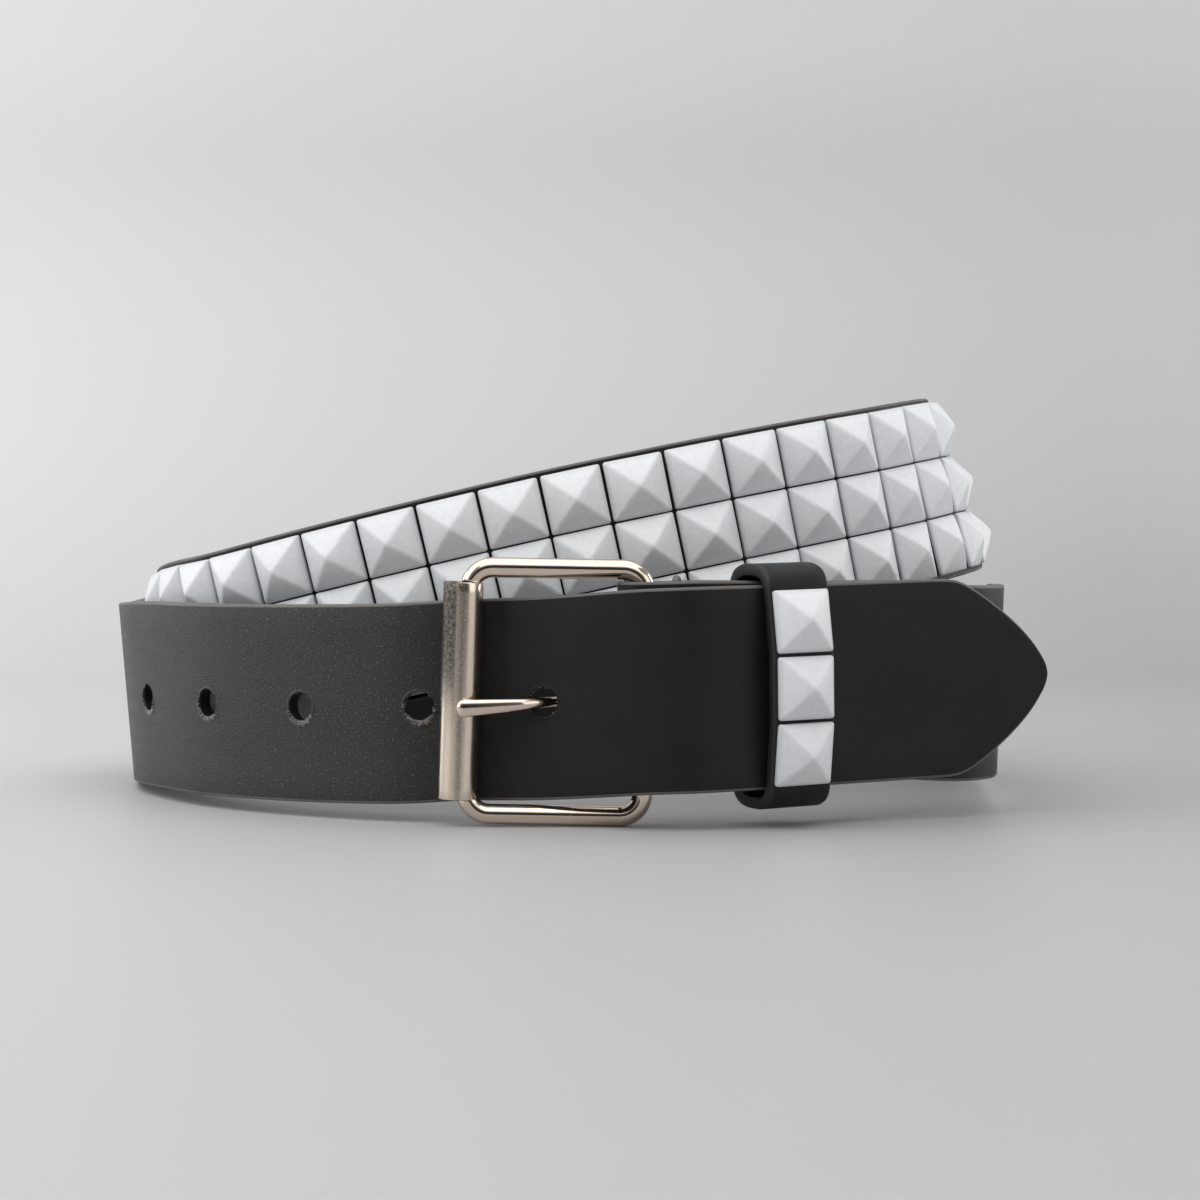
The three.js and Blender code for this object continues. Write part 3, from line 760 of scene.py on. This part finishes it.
def make_hole_rims():
    draw = random.Random(7)
    points = []
    faces = []
    flow = []
    radius = hole_diameter / 2
    profile = [(-0.1, -0.3), (0.0, 0.05), (0.14, 0.12), (0.3, 0.08), (0.5, -0.03)]
    around = 40
    for index, place in enumerate(hole_places):
        at = belt.at(place)
        middle = hole_middles[index] + half_thickness * at.outward[0]
        first = len(points)
        for i in range(around):
            turn = 2 * math.pi * i / around
            swell = 1 + 0.35 * math.sin(3 * turn + index) + draw.uniform(-0.2, 0.2)
            for grow, rise in profile:
                reach = radius + grow
                along = reach * math.cos(turn)
                high = reach * math.sin(turn)
                there = belt.at(place + along)
                out = half_thickness + rise * (swell if rise > 0 else 1)
                points.append(there.middle[0] + out * there.outward[0] + (high - hole_drop) * there.up[0])
                flow.append((place + along, high))
        ring = skin(around, len(profile), ring=True, closed=False)
        faces += [tuple(first + corner for corner in face) for face in ring]
        for fibre in range(fibres_a_hole if index else fibres_at_prong):
            low = index > 0 and draw.random() < 0.85
            turn = draw.gauss(1.5 * math.pi, 0.55) if low else draw.uniform(0, 2 * math.pi)
            length = draw.uniform(0.4, 1.1) * (1.0 if low else 0.45)
            reach = radius + draw.uniform(-0.35, 0.2)
            lean = turn + draw.uniform(-0.7, 0.7)
            base = middle + reach * (math.cos(turn) * at.direction[0] + math.sin(turn) * at.up[0])
            aim = math.cos(lean) * at.direction[0] + math.sin(lean) * at.up[0]
            aim = unit(aim + draw.uniform(0.05, 0.45) * at.outward[0])
            thick = draw.uniform(0.035, 0.07)
            side = unit(np.cross(aim, at.outward[0]))
            start = len(points)
            points += [base - thick * side, base + thick * side, base + 1.6 * thick * at.outward[0],
                       base + length * aim]
            flow += [(fibre, turn)] * 4
            faces += [(start, start + 1, start + 3), (start + 1, start + 2, start + 3),
                      (start + 2, start, start + 3), (start, start + 2, start + 1)]
    piece = make_piece("hole_rims", np.array(points), faces, flow)
    piece.data.polygons.foreach_set(
        "material_index", [1 if len(face) == 3 else 0 for face in faces])
    return piece


dress(make_hole_rims(), "black_leather", face_leather, frayed_leather)

# %% [markdown]
# ## The studs
# A pyramid stud is a square of steel pressed into a low pyramid with soft ridges. A four-sided cone would
# have knife edges, so each stud is a stack of rounded squares that shrink towards the crown, with a short
# upright rim at the foot. One stud is worked out once and set down again and again, each with a trace of
# tilt and turn, as they are on a belt that was studded by hand. All the studs of the strap are one mesh.

# %% One stud
def rounded_square(half, radius, steps=4):
    """Points round a square with rounded corners."""
    points = []
    for corner in range(4):
        turn = corner * math.pi / 2
        middle = (half - radius) * math.sqrt(2)
        x = middle * math.cos(turn + math.pi / 4)
        y = middle * math.sin(turn + math.pi / 4)
        for i in range(steps):
            bend = turn + math.pi / 2 * i / (steps - 1)
            points.append((x + radius * math.cos(bend), y + radius * math.sin(bend)))
    return points


stud_half = (stud_pitch - stud_groove) / 2
Ring = namedtuple("Ring", "half corner rise")
stud_rings = [
    Ring(stud_half, 0.5, 0.0), Ring(stud_half, 0.5, stud_rim - 0.25),
    Ring(stud_half - 0.06, 0.5, stud_rim - 0.08),
    Ring(stud_half - 0.3, 0.55, stud_rim + 0.1), Ring(stud_half - 0.7, 0.62, stud_rim + 0.36),
    Ring(4.3, 0.72, 1.72), Ring(3.1, 0.72, 2.48), Ring(1.9, 0.66, 3.2), Ring(0.95, 0.52, 3.7),
    Ring(0.45, 0.34, stud_height - 0.08),
]
stud_shape = [[(x, y, ring.rise) for x, y in rounded_square(ring.half, ring.corner)] for ring in stud_rings]
stud_points = np.array([point for ring in stud_shape for point in ring] + [(0.0, 0.0, stud_height)])
stud_columns_of_ring = len(stud_shape[0])
stud_crown = len(stud_points) - 1
stud_top = (len(stud_rings) - 1) * stud_columns_of_ring
stud_faces = skin(len(stud_rings), stud_columns_of_ring)
stud_faces += [
    (stud_top + j, stud_top + (j + 1) % stud_columns_of_ring, stud_crown) for j in range(stud_columns_of_ring)
]
stud_faces.append(tuple(reversed(range(stud_columns_of_ring))))
print("one stud has", len(stud_points), "points")


def set_studs(name, seats, draw):
    """One mesh of studs. A seat is a middle and the along, up and outward vectors."""
    points = []
    faces = []
    rises = []
    for middle, along, up, outward in seats:
        tilt = draw.gauss(0, 0.006)
        roll = draw.gauss(0, 0.006)
        turn = draw.gauss(0, 0.004)
        out = unit(outward + tilt * along + roll * up)
        across = unit(along - out * np.dot(along, out) + turn * up)
        top = np.cross(out, across)
        start = len(points)
        lift = draw.uniform(0.0, 0.06)
        for x, y, z in stud_points:
            points.append(middle + x * across + y * top + (z + lift) * out)
            rises.append(z / stud_height)
        faces += [tuple(start + corner for corner in face) for face in stud_faces]
    piece = make_piece(name, np.array(points), faces, smooth_angle=60)
    layer = piece.data.attributes.new("rise", "FLOAT", "POINT")
    layer.data.foreach_set("value", rises)
    return piece


# %% The studs of the strap
def strap_seats():
    seats = []
    for column in range(stud_columns):
        place = stud_start + (column + 0.5) * stud_pitch
        at = belt.at(place)
        for row in range(stud_rows):
            height = (row + 0.5) * stud_pitch - stud_rows * stud_pitch / 2
            middle = at.middle[0] + (half_thickness + stud_seat) * at.outward[0] + height * at.up[0]
            seats.append((middle, at.direction[0], at.up[0], at.outward[0]))
    return seats


strap_studs = set_studs("strap_studs", strap_seats(), random.Random(3))
dress(strap_studs, "white_paint", stud_paint, instead_of=["stud_field"])

# %% [markdown]
# ## The keeper
# The keeper is a band of the same leather bent into a loop round the three layers of strap. Its front is
# bowed in three flats, because each flat carries a stiff stud. It could be a bevelled curve, but a loft
# between an inner and an outer outline keeps its wall even round the tight corners. The band's edges are
# folded, so they are round and nearly as dark as its face.

# %% The loop of the keeper
keeper_at = lap.at(lap_heel + keeper_place)
keeper_out = keeper_at.outward[0]
keeper_up = keeper_at.up[0]
keeper_along = keeper_at.direction[0]
keeper_middle = keeper_at.middle[0] - layer_pitch * keeper_out
keeper_deep = 3 * strap_thickness + 2 * layer_gap + 2 * keeper_gap
keeper_tall = strap_width + 2 * keeper_headroom


def round_corner(middle, reach, start, steps=10):
    """A quarter of a slightly full ellipse, from a heading in degrees, without its last point."""
    turns = np.radians(start + np.linspace(0, 90, steps, endpoint=False))
    full = [np.sign(part) * np.abs(part) ** fullness for part in (np.cos(turns), np.sin(turns))]
    return np.column_stack([middle[0] + reach[0] * full[0], middle[1] + reach[1] * full[1]])


def straight(start, end, steps=4):
    shares = np.linspace(0, 1, steps, endpoint=False)[:, None]
    return np.array(start) * (1 - shares) + np.array(end) * shares


def keeper_outline(grow):
    """The loop's outline as (outward, height), grown by a wall."""
    front = keeper_deep / 2 + grow
    top = keeper_tall / 2 + grow
    shoulder = stud_pitch * (0.5 + math.cos(keeper_bow))
    bulge = stud_pitch * math.sin(keeper_bow)
    corner = keeper_corner_share * front
    flat = front - corner
    reach = (corner, top - shoulder)
    return np.vstack([
        round_corner((-flat, shoulder), reach, 90),
        straight((-front, shoulder), (-front, -shoulder), 10),
        round_corner((-flat, -shoulder), reach, 180),
        straight((-flat, -top), (flat, -top)),
        round_corner((flat, -shoulder), reach, 270),
        straight((front, -shoulder), (front + bulge, -stud_pitch / 2), 6),
        straight((front + bulge, -stud_pitch / 2), (front + bulge, stud_pitch / 2), 6),
        straight((front + bulge, stud_pitch / 2), (front, shoulder), 6),
        round_corner((flat, shoulder), reach, 0),
        straight((flat, top), (-flat, top)),
    ])


def make_keeper():
    inner = keeper_outline(0)
    outer = keeper_outline(keeper_wall)
    half = keeper_width / 2
    inset = edge_round / keeper_wall
    shares = [(0, -half + edge_round), (0, 0), (0, half - edge_round), (0.3 * inset, half - 0.3 * edge_round),
              (inset, half), (1 - inset, half), (1 - 0.3 * inset, half - 0.3 * edge_round),
              (1, half - edge_round), (1, half / 3), (1, -half / 3), (1, -half + edge_round),
              (1 - 0.3 * inset, -half + 0.3 * edge_round), (1 - inset, -half), (inset, -half),
              (0.3 * inset, -half + 0.3 * edge_round)]
    sides = [2, 2, 1, 1, 1, 1, 1, 0, 0, 0, 1, 1, 1, 1, 1]
    lengths = np.concatenate([[0], np.cumsum(np.linalg.norm(np.diff(outer, axis=0), axis=1))])
    points = []
    flow = []
    for i in range(len(inner)):
        for share, width in shares:
            out, high = inner[i] * (1 - share) + outer[i] * share
            points.append(keeper_middle + out * keeper_out + high * keeper_up + width * keeper_along)
            flow.append((lengths[i], width + 20))
    piece = make_piece("keeper_loop", np.array(points), skin(len(inner), len(shares), ring=True), flow, 35)
    piece.data.polygons.foreach_set("material_index", sides * len(inner))
    return piece


keeper = make_keeper()
dress(keeper, "black_leather", face_leather, folded_leather, back_leather_hole_shade, instead_of=["keeper"])

# %% The three studs of the keeper
keeper_seats = []
for level in (1, 0, -1):
    lean = level * keeper_bow
    out = keeper_deep / 2 + stud_pitch * math.sin(keeper_bow) * (1 - abs(level) / 2)
    high = level * stud_pitch / 2 * (1 + math.cos(keeper_bow))
    facing = math.cos(lean) * keeper_out + math.sin(lean) * keeper_up
    along_up = math.cos(lean) * keeper_up - math.sin(lean) * keeper_out
    seat = keeper_middle + out * keeper_out + high * keeper_up + (keeper_wall + stud_seat) * facing
    keeper_seats.append((seat, keeper_along, along_up, facing))
keeper_studs = set_studs("keeper_studs", keeper_seats, random.Random(11))
dress(keeper_studs, "white_paint", stud_paint, instead_of=["keeper_stud_1", "keeper_stud_2", "keeper_stud_3"])

# %% [markdown]
# ## The buckle
# The frame is one length of round wire bent into a rounded rectangle and butted inside the roller, where
# it is necked down. A torus or a bevelled curve would give a wire of one thickness only, so it is swept
# here from circles whose radius changes. It stands in its own flat plane and leans one degree.

# %% The frame of wire
def lean_in_plane(points, angle):
    """Turns points about Y, as the frame leans in its own plane."""
    points = np.asarray(points, float)
    x = points[:, 0] * math.cos(angle) + points[:, 2] * math.sin(angle)
    z = -points[:, 0] * math.sin(angle) + points[:, 2] * math.cos(angle)
    return np.column_stack([x, points[:, 1], z])


def wire_path():
    """Middles, outward angles and radii round the frame, with its heel bar at x = 0."""
    tall = frame_inside + 2 * wire_radius
    stops = []
    shares = np.linspace(0, 1, 15)
    for side, level, start in ((-1, 1, 90), (-1, -1, 180), (1, -1, 270), (1, 1, 0)):
        middle_x = -buckle_reach / 2 + side * (buckle_reach / 2 - frame_corner)
        middle_z = level * (tall / 2 - frame_corner)
        for share in shares:
            turn = math.radians(start + 90 * share)
            x = middle_x + frame_corner * math.cos(turn)
            z = middle_z + frame_corner * math.sin(turn)
            from_level_bar = 1 - share if side == level else share
            radius = wire_radius
            if side < 0:
                thin = min(max((from_level_bar - neck_start) / neck_taper, 0), 1)
                radius += thin * (neck_radius - wire_radius)
                x += thin * (-buckle_reach - x)
            stops.append((x, z, turn, radius))
    return stops


def make_frame():
    stops = []
    path = wire_path()
    for here, there in zip(path, path[1:] + path[:1]):
        stops.append(here)
        gap = math.hypot(there[0] - here[0], there[1] - here[1])
        extra = int(gap / 3)
        for i in range(1, extra):
            share = i / extra
            stops.append(tuple(a * (1 - share) + b * share for a, b in zip(here[:2], there[:2])) + (
                here[2], here[3] * (1 - share) + there[3] * share))
    sides = 28
    points = []
    flow = []
    place = 0.0
    for i, (x, z, turn, radius) in enumerate(stops):
        if i:
            place += math.hypot(x - stops[i - 1][0], z - stops[i - 1][1])
        for j in range(sides):
            around = 2 * math.pi * j / sides
            reach = radius * math.cos(around)
            points.append((x + reach * math.cos(turn), radius * math.sin(around), z + reach * math.sin(turn)))
            flow.append((place, around * wire_radius))
    points = lean_in_plane(points, frame_lean)
    points[:, 2] -= points[:, 2].min()
    points += [heel_x, heel_y, 0]
    return make_piece("buckle_wire", points, skin(len(stops), sides, ring=True), flow, 80)


buckle_wire = make_frame()
dress(buckle_wire, "nickel", polished_nickel, instead_of=["buckle_frame"])

# %% [markdown]
# ### The roller
# The roller is a strip of sheet metal rolled into a tube over the bar, with its two ends turned in a little.
# It is turned from a profile here. A mask is stored on it: the upper part of the side that the strap drags
# over, to the left of the front, has lost its polish, and a narrow stripe facing the front is half dulled and
# darkened, a painted dark reflection of the dark surroundings in front.

# %% The roller
dent_count = 26
worn_heading = math.radians(213)
# Where the stripe of painted dark reflection faces, and how wide it is.
reflection_heading = 273
reflection_width = 9


def make_roller():
    half = frame_inside / 2 - roller_end_gap
    inner = roller_radius - roller_wall
    lip = 0.25
    profile = [(inner, -half + 0.1), (inner + 0.15, -half), (roller_radius - lip, -half),
               (roller_radius - 0.07, -half + 0.08), (roller_radius, -half + lip)]
    rows = 24
    profile += [(roller_radius, h) for h in np.linspace(-half + lip, half - lip, rows)[1:-1]]
    profile += [(out, -high) for out, high in profile[4::-1]]
    profile += [(inner, h) for h in np.linspace(half - 0.1, -half + 0.1, 6)[1:-1]]
    around = 64
    draw = random.Random(5)
    dents = []
    while len(dents) < dent_count:
        dents.append((draw.uniform(0, 2 * math.pi), draw.uniform(-half, half), draw.uniform(0.01, 0.05)))
    points = []
    flow = []
    wear_and_painted_light = []
    for i in range(around):
        turn = 2 * math.pi * i / around
        for out, high in profile:
            dent = sum(
                deep * math.exp(-((turn - at) * roller_radius / 1.1) ** 2 - ((high - level) / 1.6) ** 2)
                for at, level, deep in dents)
            reach = out - (dent if out >= roller_radius else 0)
            points.append((reach * math.cos(turn), reach * math.sin(turn), high))
            flow.append((turn * roller_radius, high))
            facing = math.cos(turn - worn_heading)
            top = 0.5 + 0.5 * math.tanh((high + 1.5) / 4)
            # A narrow stripe facing the front, half dulled and darkened: painted reflection of the dark
            # surroundings in front.
            painted_reflection = math.exp(-((math.degrees(turn) - reflection_heading) / reflection_width) ** 2)
            wear_and_painted_light.append(max(min(max((facing - 0.66) / 0.12, 0), 1) * top, 0.5 * painted_reflection))
    points = lean_in_plane(points, frame_lean + roller_lean) + [roller_x, heel_y, roller_centre[2]]
    piece = make_piece("buckle_tube", points, skin(around, len(profile), ring=True), flow, 40)
    layer = piece.data.attributes.new("wear_and_painted_light", "FLOAT", "POINT")
    layer.data.foreach_set("value", wear_and_painted_light)
    return piece


roller = make_roller()
dress(roller, "nickel", worn_nickel_painted_band, instead_of=["buckle_roller"])

# %% [markdown]
# ### The prong
# The prong is a forged pin: an eye round the heel bar, a thin neck through the hole, and a blade that
# widens towards the roller and rests on it with a blunt rounded end. A row for each change of its section,
# with smooth stretches between, is enough to loft it.

# %% The prong
Blade = namedtuple("Blade", "reach y tall")


def make_prong():
    hole = belt.point(prong_hole)
    hole_reach = (heel_x - hole[0]) / roller_reach
    near = 0.1
    blunt_length = 1.3
    bevel = 0.35
    climb = near * roller_reach * math.tan(prong_slope)
    rest = heel_y - roller_radius - layer_gap - prong_thickness / 2
    neck = prong_neck / prong_width
    blades = [
        Blade(0.03, heel_y, neck), Blade(0.25, (heel_y + hole[1] + climb) / 2, neck),
        Blade(hole_reach - near, hole[1] + climb, neck), Blade(hole_reach, hole[1], neck),
        Blade(hole_reach + near, hole[1] - climb, 0.66),
        Blade(0.8, (hole[1] - climb + rest) / 2 - prong_thickness / 7, 0.84),
        Blade(0.97, rest, 1.0), Blade(1.015, rest, 0.97),
    ]
    table = np.array([
        (
            heel_x - blade.reach * roller_reach,
            blade.y,
            prong_height - prong_droop * max(2 * blade.reach - 1, 0),
        )
        for blade in blades])
    talls = np.array([blade.tall for blade in blades])
    marks = np.linspace(0, len(blades) - 1, 90)
    path = curve_points(table, marks)
    tangent = unit(np.gradient(path, axis=0))
    tall = np.interp(marks, np.arange(len(blades)), talls) * prong_width / 2
    sides = 20
    points = []
    flow = []
    last = len(path) - 1
    for i in range(last + 1):
        from_end = np.linalg.norm(path[last] - path[i])
        blunt = math.sqrt(max(1 - max(1 - from_end / blunt_length, 0) ** 2, 0.02))
        side = unit(np.cross([0, 0, 1.0], tangent[i]))
        for j in range(sides):
            turn = 2 * math.pi * j / sides
            wide = np.sign(math.cos(turn)) * abs(math.cos(turn)) ** fullness
            high = np.sign(math.sin(turn)) * abs(math.sin(turn)) ** fullness
            off_middle = wide * prong_thickness / 2 * side + high * tall[i] * np.array([0, 0, 1])
            points.append(path[i] + blunt * off_middle)
            flow.append((float(path[i][0]), turn))
    faces = skin(last + 1, sides) + caps(last + 1, sides)
    start = len(points)
    bore = wire_radius + bar_gap
    ring = [(bore, -0.5), (bore, 0.5), (bore + bevel, 0.5), (bore + eye_wall, 0.28), (bore + eye_wall, -0.28),
            (bore + bevel, -0.5)]
    around = 48
    for i in range(around):
        turn = 2 * math.pi * i / around
        for out, high in ring:
            points.append(heel + [out * math.cos(turn), out * math.sin(turn), high * prong_width])
            flow.append((turn, high))
    faces += [tuple(start + corner for corner in face) for face in skin(around, len(ring), ring=True)]
    return make_piece("buckle_pin", np.array(points), faces, flow, 50)


prong = make_prong()
dress(prong, "nickel", polished_nickel, instead_of=["buckle_prong"])

# %% [markdown]
# ### The thread at the fold
# The fold is held to the buckle end by a waxed thread, of which only the two knots show, where it passes
# over the edges. Each is a short half ring over both layers.

# %% Thread knots
def make_knots():
    behind = belt.at(wrap_start - knot_past_heel + knot_setback).middle[0]
    before = belt.at(wrap_end - run_shares[0] * fold_length + knot_past_heel)
    middle = (behind + before.middle[0]) / 2
    apart = before.middle[0] - middle
    along = before.direction[0]
    up = before.up[0]
    points = []
    faces = []
    steps = 14
    sides = 8
    thick = 0.42
    sunk = 0.4
    proud = 1.0
    wider = 1.25
    flattened = 1.6
    for end in (1, -1):
        start = len(points)
        for i in range(steps + 1):
            turn = math.pi * i / steps
            rise = half_width - sunk + proud * math.sin(turn) ** 0.6
            spot = middle + wider * math.cos(turn) * apart + end * rise * up
            aim = unit(-math.sin(turn) * unit(apart) + end * math.cos(turn) * up)
            side = np.cross(aim, along)
            for j in range(sides):
                around = 2 * math.pi * j / sides
                points.append(spot + thick * (math.cos(around) * side + flattened * math.sin(around) * along))
        wound = skin(steps + 1, sides) + caps(steps + 1, sides)
        faces += [tuple(start + corner for corner in face) for face in wound]
    return make_piece("fold_thread", np.array(points), faces, np.array(points)[:, :2], 60)


dress(make_knots(), "black_leather", edge_leather_painted_highlight)

# %% [markdown]
# ## The stage
# A pale floor runs back and sweeps up into a grey wall, as in a product photograph, so that no hard horizon
# crosses the picture. Its colour is painted lighter on the left and higher up, painted light that falls off
# to the right and brightens the wall. It isn't part of the belt.

# %% Floor and sweep
def make_stage_finish():
    material, tree, surface = new_finish("sweep_paper")
    where = add(tree, "ShaderNodeTexCoord").outputs["Object"]
    parts = add(tree, "ShaderNodeSeparateXYZ")
    tree.links.new(where, parts.inputs[0])
    # Lighter on the left and higher up: painted light that falls off to the right and brightens the wall.
    across = spread(tree, parts.outputs["X"], -0.22, 0.2, 0, 1)
    painted_light_falloff = ramp(tree, across, 0, 1, (0.49, 0.485, 0.49), (0.31, 0.305, 0.31))
    painted_wall_light = spread(tree, parts.outputs["Z"], 0.0, 0.24, 0, 0.4)
    tree.links.new(blend(tree, painted_wall_light, painted_light_falloff, (0.86, 0.85, 0.86)), surface.inputs["Base Color"])
    surface.inputs["Roughness"].default_value = 0.5
    return material


def make_stage():
    floor_end = 330.0
    bend = 200.0
    wall_top = 1500.0
    wide = 1600.0
    profile = [(-1200.0, 0.0), (-300.0, 0.0), (0.0, 0.0), (floor_end, 0.0)]
    bend_steps = 24
    for i in range(1, bend_steps + 1):
        turn = math.pi / 2 * i / bend_steps
        profile.append((floor_end + bend * math.sin(turn), bend * (1 - math.cos(turn))))
    profile.append((floor_end + bend, wall_top))
    points = [(x, y, z) for y, z in profile for x in (-wide, wide)]
    faces = [(2 * i, 2 * i + 1, 2 * i + 3, 2 * i + 2) for i in range(len(profile) - 1)]
    piece = make_piece("sweep", points, faces, in_frame=False, smooth_angle=80)
    piece.data.materials.append(make_stage_finish())


make_stage()

# %% [markdown]
# ## Light and camera
# The photograph has a big soft light overhead, which whitens the upper facets of the studs, and more light
# from the left than from the right, so the lower right facets turn grey. Six area lights give this: the
# big one overhead, one from the left front, a weaker one from the right front, one high in front for the
# leather's face, and two small ones that catch the strap where it turns away at the sides. Even light from
# all round fills the rest, but the world is dark towards the front, so that the polished wire has dark
# lines in it. The camera stands level, below the top of the coil, with a long lens, and its picture is
# moved by a shift instead of a tilt, so that uprights stay upright.

# %% Lights
def soft_light(name, middle, aim, size, watts):
    lamp = bpy.data.lights.new(name, "AREA")
    lamp.shape = "RECTANGLE"
    lamp.size, lamp.size_y = size
    lamp.energy = watts
    holder = bpy.data.objects.new(name, lamp)
    bpy.context.scene.collection.objects.link(holder)
    holder.location = middle
    holder.rotation_euler = (Vector(aim) - Vector(middle)).to_track_quat("-Z", "Y").to_euler()


soft_light("overhead", (-0.15, 0.05, 0.95), (0, 0, 0.03), (1.8, 1.8), 14.5)
soft_light("left_front", (-1.0, -0.45, 0.5), (0, 0, 0.03), (0.8, 0.8), 4.0)
soft_light("right_front", (0.85, -0.65, 0.35), (0, 0, 0.03), (0.7, 0.7), 1.7)
soft_light("high_front", (0.1, -0.8, 1.0), (0, 0, 0.03), (1.3, 0.9), 4.5)
soft_light("left_edge", (-0.8, 0.25, 0.25), (0, 0.05, 0.05), (0.4, 0.6), 1.6)
soft_light("right_edge", (0.8, 0.25, 0.25), (0, 0.05, 0.05), (0.4, 0.6), 2.2)


def make_air():
    """Even light from all round, but little from where the camera stands."""
    world = bpy.data.worlds.new("studio_air")
    world.use_nodes = True
    tree = world.node_tree
    parts = add(tree, "ShaderNodeSeparateXYZ")
    tree.links.new(add(tree, "ShaderNodeTexCoord").outputs["Generated"], parts.inputs[0])
    background = tree.nodes["Background"]
    background.inputs["Color"].default_value = (1, 0.985, 0.97, 1)
    tree.links.new(spread(tree, parts.outputs["Y"], -0.97, -0.7, 0.03, 0.36), background.inputs["Strength"])
    bpy.context.scene.world = world


make_air()
bpy.context.scene.view_settings.view_transform = "Standard"

# %% Camera
camera_place = (8.58, -611.04, 62.9)
lens = 85.8
horizon_row = 490
picture_rows = 1200
camera_data = bpy.data.cameras.new("camera")
camera_data.lens = lens
camera_data.sensor_width = 36.0
camera_data.shift_y = (horizon_row - picture_rows / 2) / picture_rows
camera_data.clip_start = 0.01
camera = bpy.data.objects.new("camera", camera_data)
bpy.context.scene.collection.objects.link(camera)
camera.location = tuple(part * MM for part in camera_place)
camera.rotation_euler = (math.pi / 2, 0, 0)
bpy.context.scene.camera = camera
